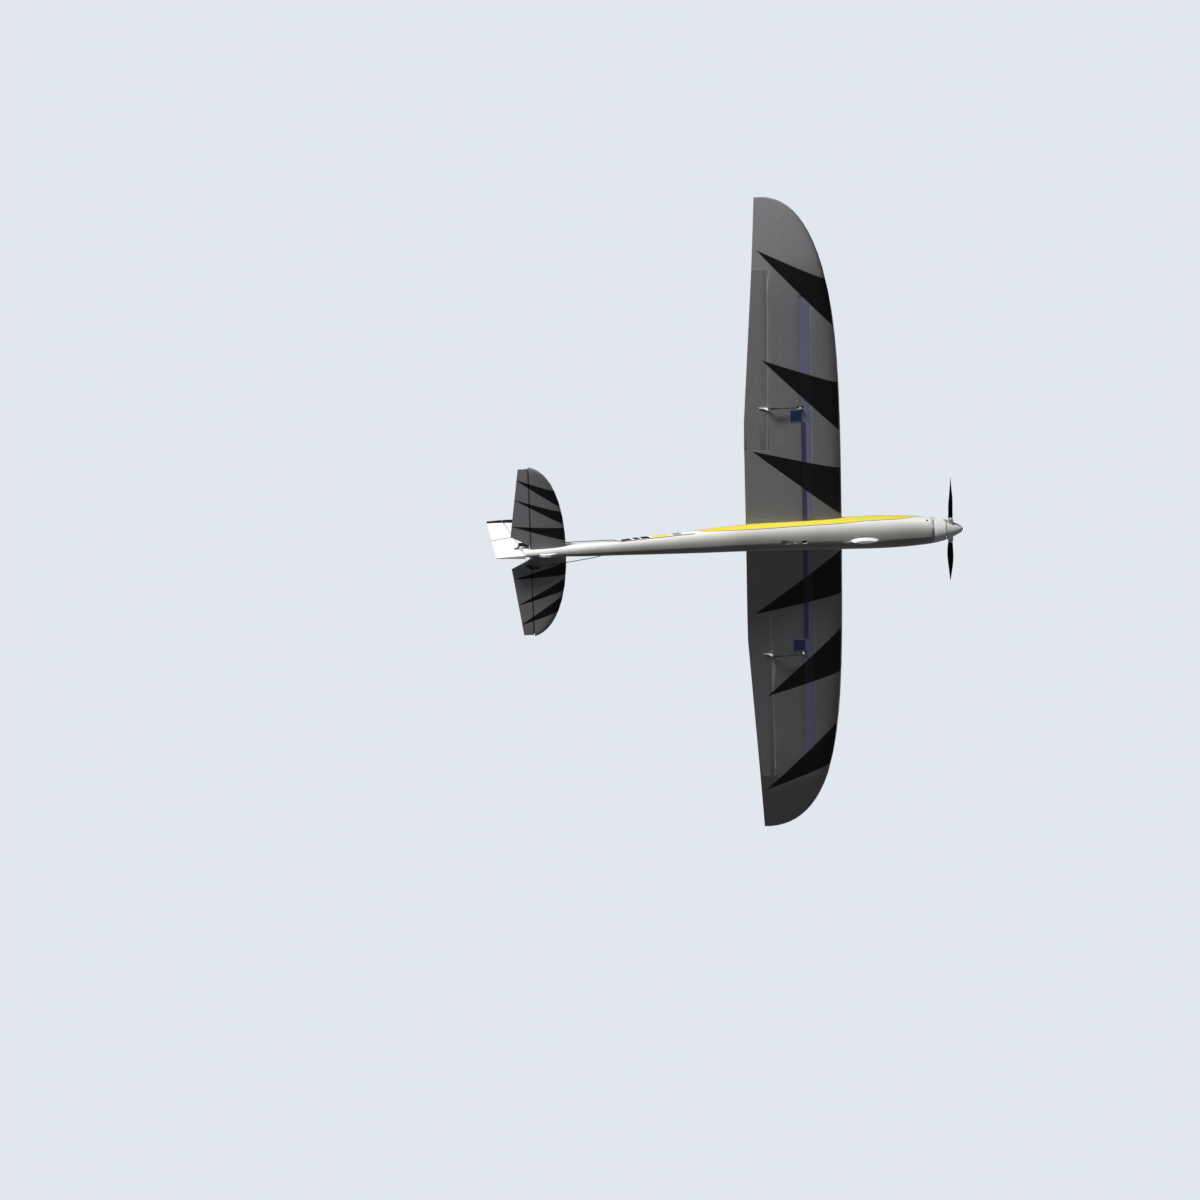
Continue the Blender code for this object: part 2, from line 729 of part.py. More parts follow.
def make_fuselage(stuff):
    """The two foam halves, joined on the keel's plane, with everything that is let into them."""
    for name, side in (("left", 1), ("right", -1)):
        shell = loft([half_ring(station, side) for station in FUSELAGE_STATIONS])
        wing_pocket = loft([wing_ring(side, span, GAP) for span in (WING_ROOT - GAP, 60)])
        stab_pocket = loft([stab_ring(side, span, GAP) for span in (STAB_ROOT - GAP, 40)])
        exit_start = 728 if side > 0 else 701
        shell = cut(
            shell,
            front_bay(),
            rear_bay(),
            above_hatch_edge(0),
            block((-7, 245, -6), (7, 275, 6)),
            wing_pocket,
            joiner_line(JOINER_RADIUS + GAP, 60),
            belly_skid(GAP),
            sheet([(VENT_STATION + a, b) for a, b in capsule(-3.5, 3.5, 3)], (-40, -15), plan),
            rod((0, SCREW_STATION, -40), (0, SCREW_STATION, -26.6), 3.9, 16),
            rod((0, SCREW_STATION, -30), (0, SCREW_STATION, -15), SCREW_HOLE, 12),
            rod((side * ROD_SIDE, TUBE_START - 10, ROD_HEIGHT),
                (side * ROD_SIDE, exit_start + 16, ROD_HEIGHT), TUBE_RADIUS + GAP, 10),
            block((min(side * 11.8, side * 30), exit_start, ROD_HEIGHT - 3),
                  (max(side * 11.8, side * 30), exit_start + 34, ROD_HEIGHT + 3)),
            stab_pocket,
            tail_bar(40, STAB_ROD_STATION, STAB_ROD_RADIUS + GAP),
            tail_bar(40, ELEVATOR_HINGE, JOINER_WIRE_RADIUS + 3 * GAP),
            loft([fin_ring(height, GAP) for height in (-9 - GAP, 0, 12, 25, 45)]),
            tail_skid(GAP),
            tail_end(),
        )
        piece(f"fuselage_{name}", shell, stuff["foam"])

    piece("belly_skid", belly_skid(0), stuff["white_plastic"])
    piece("tail_skid", tail_skid(0), stuff["white_plastic"])
    head = rod((0, SCREW_STATION, -29.2), (0, SCREW_STATION, -26.9), 3.4, 16)
    shank = rod((0, SCREW_STATION, -27.5), (0, SCREW_STATION, SERVO_TRAY_TOP + 0.6), 1.5, 12)
    piece("tray_screw", joined(head, shank), stuff["bright_metal"])


def make_canopy(stuff):
    """The lift-off hatch over the battery: the fuselage's own outline above its edge, hollow underneath."""
    whole = loft([body_ring(station) for station in FUSELAGE_STATIONS[:12]])
    hollow = loft([body_ring(station, CANOPY_WALL) for station in (88, 110, 140, 170, 205, 235, 246)])
    shell = combined(whole, above_hatch_edge(GAP), "INTERSECT")
    piece("canopy", cut(shell, hollow), stuff["black_gloss"], (0, 165, 18))


# ---------------------------------------------------------------- radio gear

def servo(length, height):
    """A servo lying on its side in local axes: its output points along +x at the origin."""
    case = soft_block((-height - 1.8, -6, -6), (-1.8, length - 6, 6), 0.6)
    return joined(case, rod((-2.5, 0, 0), (0, 0, 0), 3.2))


def servo_arm(reach, side=1):
    """A tapered arm hanging from its spline, with a hole for the rod near its end."""
    outline = arc((0, 0), 3.4, 20, 160, 5) + arc((0, -reach), 2.1, 200, 340, 4)
    arm = sheet(outline, (0, side * 2 * ARM_HALF), upright)
    return cut(arm, rod((-3, 0, -reach), (3, 0, -reach), LINK_HOLE, 8))


def make_radio_gear(stuff):
    """Battery, its tray and strap, speed controller, receiver, servos and their tray."""
    plank = block((-40, 90, TRAY_TOP - PLY), (40, 254, TRAY_TOP))
    piece("battery_tray", combined(plank, front_bay(-GAP), "INTERSECT"), stuff["plywood"])
    pack = soft_block((-BATTERY_HALF, 98, TRAY_TOP + GAP),
                      (BATTERY_HALF, 202, TRAY_TOP + BATTERY_HEIGHT), 2.5)
    piece("battery_pack", pack, stuff["battery_wrap"])
    half = BATTERY_HALF + 0.4
    top = TRAY_TOP + BATTERY_HEIGHT + 0.4
    foot = TRAY_TOP + GAP
    outer = [(-half - STRAP, foot), (-half - STRAP, top + STRAP), (half + STRAP, top + STRAP),
             (half + STRAP, foot)]
    inner = [(half, foot), (half, top), (-half, top), (-half, foot)]
    piece("battery_strap", sheet(outer + inner, (141, 159), across), stuff["black_plastic"])
    controller = soft_block((-12.5, 210, TRAY_TOP + GAP), (12.5, 250, TRAY_TOP + 8), 1.0)
    piece("speed_controller", controller, stuff["blue_wrap"])
    receiver = soft_block((-10, 396, -18), (10, 434, -5), 1.0)
    piece("receiver", receiver, stuff["black_plastic"])

    servos = (("elevator", 1, ELEVATOR_SERVO_STATION, 728), ("rudder", -1, RUDDER_SERVO_STATION, 698))
    plank = block((-40, 266, SERVO_TRAY_TOP - PLY), (40, 370, SERVO_TRAY_TOP))
    slots = [
        block((side * (ARM_SIDE + 0.05) - 2.75, station - 9, -14),
              (side * (ARM_SIDE + 0.05) + 2.75, station + 9, -6))
        for _, side, station, _ in servos
    ]
    tray = combined(plank, rear_bay(-GAP), "INTERSECT")
    tray = cut(tray, *slots, rod((0, SCREW_STATION, -14), (0, SCREW_STATION, -6), SCREW_HOLE))
    piece("servo_tray", tray, stuff["plywood"])

    for name, side, station, end in servos:
        mirror = Matrix.Diagonal((side, 1, 1, 1))
        place = Matrix.Translation((side * SERVO_SIDE, station, SERVO_AXIS)) @ mirror
        case = moved(servo(23, 22), place)
        bmesh.ops.recalc_face_normals(case, faces=case.faces)
        piece(f"{name}_servo", case, stuff["blue_wrap"])
        spline = (side * ARM_SIDE, station, SERVO_AXIS)
        arm = moved(servo_arm(SERVO_ARM, side), Matrix.Translation(spline))
        bmesh.ops.recalc_face_normals(arm, faces=arm.faces)
        piece(f"{name}_servo_arm", arm, stuff["white_plastic"], spline)
        across_at = side * ROD_SIDE
        tube = cut(rod((across_at, TUBE_START, ROD_HEIGHT), (across_at, end, ROD_HEIGHT), TUBE_RADIUS, 10),
                   rod((across_at, TUBE_START - 14, ROD_HEIGHT), (across_at, end + 20, ROD_HEIGHT),
                       TUBE_BORE, 10))
        piece(f"{name}_guide_tube", tube, stuff["white_plastic"])


# ---------------------------------------------------------------- wings

def aileron_bay_ring(side, span):
    """What the aileron's bay takes from the wing: a round front about the hinge, open behind it."""
    station, height, radius = aileron_axis(span)
    front = arc((station, height), radius + HINGE_GAP, 90, 270, 8)
    rear = [(station, height - 30), (station + 70, height - 30), (station + 70, height + 30),
            (station, height + 30)]
    return [Vector((side * span, a, b)) for a, b in front + rear]


def aileron_ring(side, span):
    """The aileron's section: a round nose on the hinge, then the wing's own skins."""
    station, height, radius = aileron_axis(span)
    back = wing_edges(span)[1]
    nose = arc((station, height), radius, 90, 270, 8)
    places = [station + (back - station) * share for share in (0.2, 0.4, 0.6, 0.8, 1.0)]
    lower = [(place, wing_skin(span, place)[0]) for place in places]
    upper = [(place, wing_skin(span, place)[1]) for place in places[::-1]]
    return [Vector((side * span, a, b)) for a, b in nose + lower + upper]


def aileron_horn():
    """The horn under the aileron, in the linkage's local axes."""
    station, height, radius = aileron_axis(LINKAGE_SPAN)
    middle, heel = [wing_skin(LINKAGE_SPAN, station + aft)[0] - height - GAP for aft in (9, 18)]
    outline = [(3.5, -radius - GAP), (0.5, -9.5), (-2.4, -12.5)]
    outline += arc((0, -HORN_RADIUS), 2.3, 180, 330, 4)
    outline += [(5.5, -11), (9, middle - 2.2), (18, heel - 1.2), (18, heel), (10, middle)]
    horn = sheet(outline, (-HORN_HALF, HORN_HALF), upright)
    return cut(horn, rod((-3, 0, -HORN_RADIUS), (3, 0, -HORN_RADIUS), LINK_HOLE, 8))


def make_wing(name, side, stuff):
    """One wing panel with its spar band, aileron, servo and linkage."""
    hinge = aileron_axis(LINKAGE_SPAN)
    pivot = (side * LINKAGE_SPAN, hinge[0], hinge[1])
    arm_at = linkage_frame(side) @ Vector((0, -LINKAGE_LENGTH, 0))
    tip_at = linkage_frame(side) @ Vector((0, -LINKAGE_LENGTH, -HORN_RADIUS))

    servo_room = block((-27.5, -LINKAGE_LENGTH - 6.4, -6.4), (-0.9, -LINKAGE_LENGTH + 17.4, 6.4))
    arm_room = block((-2.2, -LINKAGE_LENGTH - 6.8, -30), (3.6, -LINKAGE_LENGTH + 6.8, 4.5))
    cover_hole = skin_band(side, (COVER_BAND[0] - GAP, COVER_BAND[1] + GAP),
                           (COVER_SPAN[0] - GAP, COVER_SPAN[1] + GAP), FILM + GAP, 3)
    band_spans = (36, 60, 130, 196, 300, 400, 500, 540)
    groove = skin_band(side, (SPAR_BAND[0] - GAP, SPAR_BAND[1] + GAP),
                       (30,) + band_spans[1:-1] + (band_spans[-1] + GAP,), FILM + GAP, 3)
    panel = cut(
        loft([wing_ring(side, span) for span in WING_SPANS]),
        loft([aileron_bay_ring(side, span) for span in (AILERON_INNER[0] - HINGE_GAP,
                                                        AILERON_OUTER[0] + HINGE_GAP)]),
        joiner_line(JOINER_RADIUS + GAP, JOINER_REACH + 1),
        linkage_piece(side, servo_room),
        linkage_piece(side, arm_room),
        cover_hole,
        groove,
    )
    piece(f"wing_{name}", panel, stuff["foam"])

    strip = cut(
        skin_band(side, SPAR_BAND, band_spans, FILM, 0.2),
        skin_band(side, (COVER_BAND[0] - GAP, COVER_BAND[1] + GAP),
                  (COVER_SPAN[0] - GAP, COVER_SPAN[1] + GAP), 5, 5),
        linkage_piece(side, block((-2.5, -LINKAGE_LENGTH - 7.1, -30), (3.9, -LINKAGE_LENGTH + 7.1, 5))),
    )
    piece(f"spar_band_{name}", strip, stuff["blue_grey"])
    piece(f"servo_cover_{name}", skin_band(side, COVER_BAND, COVER_SPAN, FILM, 0.4), stuff["blue_grey"])

    case = moved(servo(23, 21), Matrix.Translation((-1.2, -LINKAGE_LENGTH, 0)))
    piece(f"aileron_servo_{name}", linkage_piece(side, case), stuff["blue_wrap"])
    arm = moved(servo_arm(HORN_RADIUS), Matrix.Translation((-ARM_HALF, -LINKAGE_LENGTH, 0)))
    piece(f"aileron_servo_arm_{name}", linkage_piece(side, arm), stuff["white_plastic"], arm_at)
    reach = [(-1.3, -LINKAGE_LENGTH, -HORN_RADIUS), (2.2, -LINKAGE_LENGTH, -HORN_RADIUS),
             (2.2, 0, -HORN_RADIUS), (-1.3, 0, -HORN_RADIUS)]
    piece(f"aileron_rod_{name}", linkage_piece(side, wire(reach, ROD_RADIUS)), stuff["black_wire"], tip_at)

    spans = (AILERON_INNER[0], 260, 330, 400, 450, 500, 550, AILERON_OUTER[0])
    piece(f"aileron_{name}", loft([aileron_ring(side, span) for span in spans]), stuff["foam"], pivot)
    piece(f"aileron_horn_{name}", linkage_piece(side, aileron_horn()), stuff["white_plastic"], pivot)


# ---------------------------------------------------------------- tail

def elevator_ring(side, span):
    """The elevator's section: a round nose on the hinge, tapering to its edge."""
    back = stab_back(max(span, ROOT_END))
    if span < ROOT_END:
        back = ELEVATOR_HINGE
    radius = ELEVATOR_RADIUS * min(1.0, 0.55 + (STAB_TIP - span) / 60)
    back = max(back, ELEVATOR_HINGE + 1.5)
    nose = arc((ELEVATOR_HINGE, TAIL_HEIGHT), radius, 90, 270, 8)
    slim = radius - (radius - 0.5) * min(1.0, (back - ELEVATOR_HINGE) / 30)
    edge = [(back, TAIL_HEIGHT - slim), (back, TAIL_HEIGHT + slim)]
    return [Vector((side * span, a, b)) for a, b in nose + edge]


def make_tailplane(stuff):
    """Fixed halves on their rod, and both elevator halves on the wire that joins them."""
    axis = (0, ELEVATOR_HINGE, TAIL_HEIGHT)
    for name, side in (("left", 1), ("right", -1)):
        fixed = cut(loft([stab_ring(side, span) for span in STAB_SPANS]),
                    tail_bar(60, STAB_ROD_STATION, STAB_ROD_RADIUS + GAP))
        piece(f"stabiliser_{name}", fixed, stuff["foam"])
        spans = (18, ROOT_END, 80, 120, 150, 170, 184, 192, 197)
        half = cut(loft([elevator_ring(side, span) for span in spans]),
                   tail_bar(26.5, ELEVATOR_HINGE, JOINER_WIRE_RADIUS + GAP))
        piece(f"elevator_{name}", half, stuff["foam"], axis)
    piece("stabiliser_rod", tail_bar(59, STAB_ROD_STATION, STAB_ROD_RADIUS), stuff["carbon"])
    piece("elevator_joiner", tail_bar(26, ELEVATOR_HINGE, JOINER_WIRE_RADIUS), stuff["bright_metal"], axis)

    outline = [(2.5, -ELEVATOR_RADIUS - GAP), (-0.5, -8), (-1.9, -11)]
    outline += arc((0, -TAIL_HORN_RADIUS), 2.0, 180, 330, 4)
    outline += [(4.5, -8), (10.5, -ELEVATOR_RADIUS - 1.6), (10.5, -ELEVATOR_RADIUS - GAP + 0.6)]
    horn = sheet([(ELEVATOR_HINGE + a, TAIL_HEIGHT + b) for a, b in outline],
                 (ELEVATOR_HORN_SPAN - HORN_HALF, ELEVATOR_HORN_SPAN + HORN_HALF), upright)
    piece("elevator_horn", horn, stuff["black_plastic"], axis)

    clevis = block((ELEVATOR_HORN_SPAN - 3, 886, -30), (ELEVATOR_HORN_SPAN + 3, 907, -26))
    mouth = block((ELEVATOR_HORN_SPAN - 1.4, 895, -33), (ELEVATOR_HORN_SPAN + 1.4, 912, -23))
    link = joined(wire(rod_points(1), ROD_RADIUS), cut(clevis, mouth))
    piece("elevator_rod", link, stuff["black_wire"])


def make_fin(stuff):
    """Fin, rudder, horn and the rudder's control rod."""
    piece("tail_fin", loft([fin_ring(height) for height in FIN_HEIGHTS]), stuff["foam"])

    rings = []
    for height in (-36, -20, 16, 60, 100, 124):
        hinge = rudder_axis(height)
        half = fin_half(height)
        back = 975 + (height + 36) * 15 / 160
        nose = arc((hinge, 0), half, 90, 270, 6)
        rings.append([Vector((x, station, height)) for station, x in nose + [(back, -0.7), (back, 0.7)]])
    pivot = (0, rudder_axis(RUDDER_HORN_HEIGHT), RUDDER_HORN_HEIGHT)
    piece("rudder", loft(rings), stuff["foam"], pivot)

    side = -fin_half(0) - GAP
    hinge = pivot[1]
    outline = [(side, hinge + 2), (-10.5, hinge + 0.3), (-13, hinge - 1.9)]
    outline += arc((-RUDDER_HORN_REACH, hinge), 2.0, 240, 100, 4)
    outline += [(-8, hinge + 5), (side - 1.2, hinge + 12), (side + 0.7, hinge + 12)]
    horn = sheet(outline, (RUDDER_HORN_HEIGHT - 0.7, RUDDER_HORN_HEIGHT + 0.7), level)
    piece("rudder_horn", horn, stuff["black_plastic"], pivot)

    clevis = block((-RUDDER_HORN_REACH - 2, 904, RUDDER_HORN_HEIGHT - 4.1),
                   (-RUDDER_HORN_REACH + 2, hinge + 2.5, RUDDER_HORN_HEIGHT + 4.1))
    mouth = block((-RUDDER_HORN_REACH - 4, hinge - 11, RUDDER_HORN_HEIGHT - 2.8),
                  (-RUDDER_HORN_REACH + 4, hinge + 8, RUDDER_HORN_HEIGHT + 2.8))
    link = joined(wire(rod_points(-1), ROD_RADIUS), cut(clevis, mouth))
    piece("rudder_rod", link, stuff["black_wire"])


def main():
    """Clear the file and build the glider."""
    for old in list(bpy.data.objects):
        bpy.data.objects.remove(old)
    stuff = {
        "foam": material("foam", (0.86, 0.86, 0.85), 0.75),
        "white_plastic": material("white_plastic", (0.85, 0.85, 0.86), 0.4),
        "black_plastic": material("black_plastic", (0.02, 0.02, 0.025), 0.4),
        "black_gloss": material("black_gloss", (0.015, 0.015, 0.02), 0.15),
        "blue_grey": material("blue_grey", (0.25, 0.29, 0.42), 0.2),
        "bright_metal": material("bright_metal", (0.75, 0.75, 0.76), 0.25, 1.0),
        "dark_metal": material("dark_metal", (0.12, 0.12, 0.13), 0.35, 1.0),
        "copper": material("copper", (0.55, 0.3, 0.16), 0.4, 1.0),
        "carbon": material("carbon", (0.04, 0.04, 0.045), 0.35),
        "black_wire": material("black_wire", (0.05, 0.05, 0.055), 0.4, 0.6),
        "plywood": material("plywood", (0.62, 0.45, 0.27), 0.7),
        "battery_wrap": material("battery_wrap", (0.06, 0.07, 0.1), 0.35),
        "blue_wrap": material("blue_wrap", (0.05, 0.1, 0.3), 0.35),
    }
    make_propeller(stuff)
    make_blades(stuff)
    make_nose(stuff)
    make_fuselage(stuff)
    make_canopy(stuff)
    make_radio_gear(stuff)
    for name, side in (("left", 1), ("right", -1)):
        make_wing(name, side, stuff)
    tube = cut(joiner_line(JOINER_RADIUS, JOINER_REACH), joiner_line(JOINER_RADIUS - 1, JOINER_REACH + 20))
    piece("wing_joiner", tube, stuff["carbon"])
    make_tailplane(stuff)
    make_fin(stuff)


main()
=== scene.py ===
# %% [markdown]
# # A foam electric glider
#
# The glider is a 1.5 m model of moulded foam: a slim fuselage, a long wing with upswept tips, a
# low tailplane, a fin, and a propeller whose blades fold back. Its CAD pieces already have their
# real shapes, sizes and joints. This script gives them their finish: smooth skins, eased edges,
# paint, film, mould marks, hinge tape, screws, clevises and a canopy grip. Lengths are in
# millimetres unless a comment says otherwise.

# %% Load the frame
import json
import math

import bmesh
import bpy
from mathutils import Matrix, Vector
from mathutils.bvhtree import BVHTree

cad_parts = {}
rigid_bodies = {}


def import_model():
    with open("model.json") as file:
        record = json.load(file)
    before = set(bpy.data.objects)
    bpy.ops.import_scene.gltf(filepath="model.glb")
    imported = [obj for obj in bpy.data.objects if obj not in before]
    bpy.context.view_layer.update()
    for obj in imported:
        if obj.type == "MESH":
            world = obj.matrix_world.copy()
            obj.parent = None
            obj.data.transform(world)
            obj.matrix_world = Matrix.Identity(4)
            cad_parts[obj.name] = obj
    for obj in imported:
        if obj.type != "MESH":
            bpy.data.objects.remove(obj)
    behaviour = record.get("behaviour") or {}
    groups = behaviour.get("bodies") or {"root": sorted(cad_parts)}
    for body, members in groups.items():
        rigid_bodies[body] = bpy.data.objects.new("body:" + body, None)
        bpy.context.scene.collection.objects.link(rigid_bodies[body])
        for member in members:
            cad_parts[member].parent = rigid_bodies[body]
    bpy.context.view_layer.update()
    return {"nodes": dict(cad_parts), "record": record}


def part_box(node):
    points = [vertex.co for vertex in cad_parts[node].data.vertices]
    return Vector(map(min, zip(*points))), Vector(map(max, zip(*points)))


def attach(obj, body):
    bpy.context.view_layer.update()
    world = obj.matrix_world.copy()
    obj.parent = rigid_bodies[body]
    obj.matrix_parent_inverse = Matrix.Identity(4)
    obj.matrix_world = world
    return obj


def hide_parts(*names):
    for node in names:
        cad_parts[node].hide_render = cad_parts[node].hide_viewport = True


for leftover in list(bpy.data.objects):
    bpy.data.objects.remove(leftover)
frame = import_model()
NODES = frame["nodes"]
RECORD = frame["record"]
BODIES = RECORD["behaviour"]["bodies"]
BODY_OF = {node: body for body, members in BODIES.items() for node in members}
SLOT_OF = {entry["node"]: entry["material_slot"] for entry in RECORD["subparts"]}

# %% [markdown]
# ## Where things are
#
# The glider's own drawing is in millimetres: across from the keel, aft of the spinner's tip, and
# up from the fuselage's reference line. The frame is in metres, with the nose towards -Y and the
# floor at zero. The spinner's nut is the foremost thing, so its CAD box says where the drawing
# starts. The reference line is 41 mm above the floor, because the glider stands on its belly
# skid. Every later step can then speak the drawing's language.

# %% The drawing's place in the frame
MM = 0.001
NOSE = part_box("spinner_nut")[0].y
REFERENCE = 41 * MM


def spot(across, station, height):
    """A point of the drawing, in the frame."""
    return Vector((across * MM, NOSE + station * MM, REFERENCE + height * MM))


print("reference point", [round(value, 4) for value in spot(0, 0, 0)])

# %% [markdown]
# ## Camera
#
# The glider is seen from the ground as it banks overhead, so the camera is far below and to its
# right, with a long lens that flattens the shape. A camera is easiest to repeat as a place, a
# point to look at and a roll: the aim turns it, then the roll tips the wings upright in the
# picture.

# %% Camera
CAMERA_PLACE = Vector((-6.2417, 0.6054, -11.158))
CAMERA_AIM = Vector((0.1307, 0.2665, 0.041))
CAMERA_ROLL = math.radians(-5.39)
LENS = 185.2
SENSOR_WIDTH = 36
FARTHEST = 200

camera = bpy.data.objects.new("camera", bpy.data.cameras.new("camera"))
bpy.context.scene.collection.objects.link(camera)
camera.data.lens = LENS
camera.data.sensor_width = SENSOR_WIDTH
camera.data.clip_end = FARTHEST
camera.rotation_mode = "QUATERNION"
camera.location = CAMERA_PLACE
look = (CAMERA_AIM - CAMERA_PLACE).to_track_quat("-Z", "Y")
camera.rotation_quaternion = look @ Matrix.Rotation(CAMERA_ROLL, 3, "Z").to_quaternion()
bpy.context.scene.camera = camera
print("camera", round((CAMERA_AIM - CAMERA_PLACE).length, 2), "m away")

# %% [markdown]
# ## Shader sums as Python sums
#
# A paint scheme is a drawing made of sums: how far a point is from a line, whether it is above an
# edge. Written as nodes, such sums are long and hard to read. A small class that stands for one
# socket, and adds a Math node when it meets +, -, * or another operator, keeps them as short as
# they are on paper.

# %% A socket that can be added and multiplied
class Flow:
    """One socket of a material. Sums on it add Math nodes; any other node comes from add()."""

    def __init__(self, tree, socket=None):
        self.tree = tree
        self.socket = socket

    def add(self, kind, settings, sockets, output=0):
        """A node of any kind: its settings first, then the values or links of its sockets."""
        node = self.tree.nodes.new("ShaderNode" + kind)
        for name, value in settings.items():
            if name == "stops":
                self.set_stops(node.color_ramp, value)
            else:
                setattr(node, name, value)
        for name, value in sockets.items():
            if isinstance(value, Flow):
                self.tree.links.new(value.socket, node.inputs[name])
            else:
                node.inputs[name].default_value = value
        return Flow(self.tree, node.outputs[output])

    def set_stops(self, ramp, stops):
        """Gives a ramp its (place, grey) stops, joined by a smooth curve through them."""
        ramp.interpolation = "CARDINAL"
        while len(ramp.elements) < len(stops):
            ramp.elements.new(0.5)
        for element, (place, grey) in zip(ramp.elements, stops):
            element.position = place
            element.color = (grey, grey, grey, 1)

    def maths(self, operation, *values, clamp=False):
        """A Math node on this socket and others."""
        settings = {"operation": operation, "use_clamp": clamp}
        return self.add("Math", settings, dict(enumerate((self, *values))))

    def __add__(self, other):
        return self.maths("ADD", other)

    def __sub__(self, other):
        return self.maths("SUBTRACT", other)

    def __rsub__(self, other):
        return self.maths("MULTIPLY_ADD", -1, other)

    def __mul__(self, other):
        return self.maths("MULTIPLY", other)

    __radd__ = __add__
    __rmul__ = __mul__

    def size(self):
        """Its distance from zero."""
        return self.maths("ABSOLUTE")

    def either(self, *others):
        """1 where this mask or another is 1."""
        together = self
        for other in others:
            together = together.maths("MAXIMUM", other)
        return together

    def edge(self, softness=0.5):
        """1 where it is above zero and 0 where it is below, with an edge that many units wide."""
        return self.maths("MULTIPLY_ADD", 1 / softness, 0.5, clamp=True)

    def near(self, place, reach, softness=0.5):
        """1 within reach of a place."""
        return (reach - (self - place).size()).edge(softness)

    def within(self, low, high, softness=0.5):
        """1 between low and high."""
        return (self - low).edge(softness) * (high - self).edge(softness)

    def profile(self, points):
        """The height of a smooth line drawn through (place, height) points."""
        places = [place for place, _ in points]
        heights = [height for _, height in points]
        width = places[-1] - places[0]
        low, rise = min(heights), max(heights) - min(heights)
        stops = [((place - places[0]) / width, (height - low) / rise) for place, height in points]
        line = self.add("ValToRGB", {"stops": stops}, {"Fac": (self - places[0]) * (1 / width)})
        return self.add("RGBToBW", {}, {"Color": line}) * rise + low

    def over(self, under, colour):
        """A colour laid over another where this mask is 1."""
        return self.add("Mix", {"data_type": "RGBA"}, {0: self, 6: under, 7: colour}, output=2)


print("Flow is ready")

# %% [markdown]
# ## Starting and closing a finish
#
# Every finish here is the Principled shader with a few sockets driven by patterns. The patterns
# read Object coordinates: each piece sits at the frame's origin, so those are the drawing's own
# places, and a stripe can run across a seam from one piece to the next without a join.

# %% Start and close a finish
CLOUDS, GLOSS_PATCHES, GLOSS_SPREAD = 40.0, 95.0, 0.1


def start(name):
    """A new material, as a Flow that further nodes grow from."""
    stuff = bpy.data.materials.new(name)
    stuff.use_nodes = True
    return Flow(stuff.node_tree)


def close(flow, **sockets):
    """Sets the Principled shader's sockets, to numbers, colours or patterns."""
    shader = flow.tree.nodes["Principled BSDF"]
    for name, value in sockets.items():
        target = shader.inputs[name.replace("_", " ")]
        if isinstance(value, Flow):
            flow.tree.links.new(value.socket, target)
        else:
            target.default_value = value
    return next(stuff for stuff in bpy.data.materials if stuff.node_tree == flow.tree)


def axis(flow, vector, index):
    """One number of a vector: 0 is across, 1 is aft and 2 is up."""
    return flow.add("SeparateXYZ", {}, {"Vector": vector}, index)


def here(flow):
    """The point's own place in the frame."""
    return flow.add("TexCoord", {}, {}, "Object")


def drawing_axes(flow):
    """How far the point is across, aft and up in the drawing, in millimetres."""
    place = here(flow)
    across, aft, up = (axis(flow, place, index) for index in range(3))
    return across * (1 / MM), (aft - NOSE) * (1 / MM), (up - REFERENCE) * (1 / MM)


def noise(flow, scale, detail=2.0, stretch=(1, 1, 1)):
    """Soft cloudy variation between 0 and 1."""
    place = flow.add("Mapping", {}, {"Vector": here(flow), "Scale": stretch})
    return flow.add("TexNoise", {}, {"Vector": place, "Scale": scale, "Detail": detail})


def bump(flow, height, depth, strength=1.0):
    """A surface raised by a pattern, depth in millimetres."""
    return flow.add("Bump", {}, {"Height": height, "Distance": depth * MM, "Strength": strength})


def shades(colour, vary):
    """A darker and a lighter shade of a colour."""
    darker = tuple(channel * (1 - vary) for channel in colour)
    lighter = tuple(min(channel * (1 + vary) + vary * 0.02, 1) for channel in colour)
    return (*darker, 1), (*lighter, 1)


def plain(name, colour, roughness, grain=400.0, depth=0.04, vary=0.08, **sockets):
    """A moulded, painted or metal finish: mottled colour, uneven gloss, fine grain, depth in mm."""
    flow = start(name)
    tint = noise(flow, CLOUDS, 3.0).over(*shades(colour, vary))
    gloss = noise(flow, GLOSS_PATCHES) * GLOSS_SPREAD + (roughness - GLOSS_SPREAD / 2)
    relief = bump(flow, noise(flow, grain), depth)
    return close(flow, Base_Color=tint, Roughness=gloss, Normal=relief, **sockets)


print("finishes can be made")

# %% [markdown]
# ## Moulded foam
#
# The skins are bead foam: thousands of small beads swollen together in a mould. Close up, the
# beads show as shallow cells a couple of millimetres wide with faint darker lines between them. A
# Voronoi pattern has the same cells, so its distance gives both the dimples and the lines. Paint
# and decals fill the cells, so a painted part is flatter and a little glossier.

# %% Foam, with the paint laid over it
WHITE = (0.82, 0.82, 0.81, 1)
# The underside grey is part colour and part painted shade: it is set darker to stand for the shade
# under the wings and tailplane.
UNDERSIDE_GREY_AND_SHADE = (0.25, 0.25, 0.265, 1)
# Bare foam on the underside, darkened by the same painted shade.
BARE_FOAM_WITH_PAINTED_SHADE = (0.42, 0.42, 0.43, 1)
BLACK = (0.006, 0.006, 0.008, 1)
YELLOW = (0.76, 0.65, 0.06, 1)
GREY = (0.30, 0.31, 0.33, 1)
SOIL = (0.24, 0.23, 0.21, 1)
# Painted shade for the fuselage's belly.
BELLY_PAINTED_SHADE = (0.17, 0.155, 0.13, 1)
BEADS = 430.0
CREASE_SHARPNESS, BEAD_DEPTH, BEAD_STRENGTH = 9.0, 0.12, 0.6
PATCHES = 14.0
SOIL_IN_PATCHES, SOIL_IN_CREASES = 0.09, 0.10
PAINT_FILLS = 0.8
BARE_ROUGHNESS, PAINT_SMOOTHS = 0.62, 0.16
PAINT_COVER = 0.9


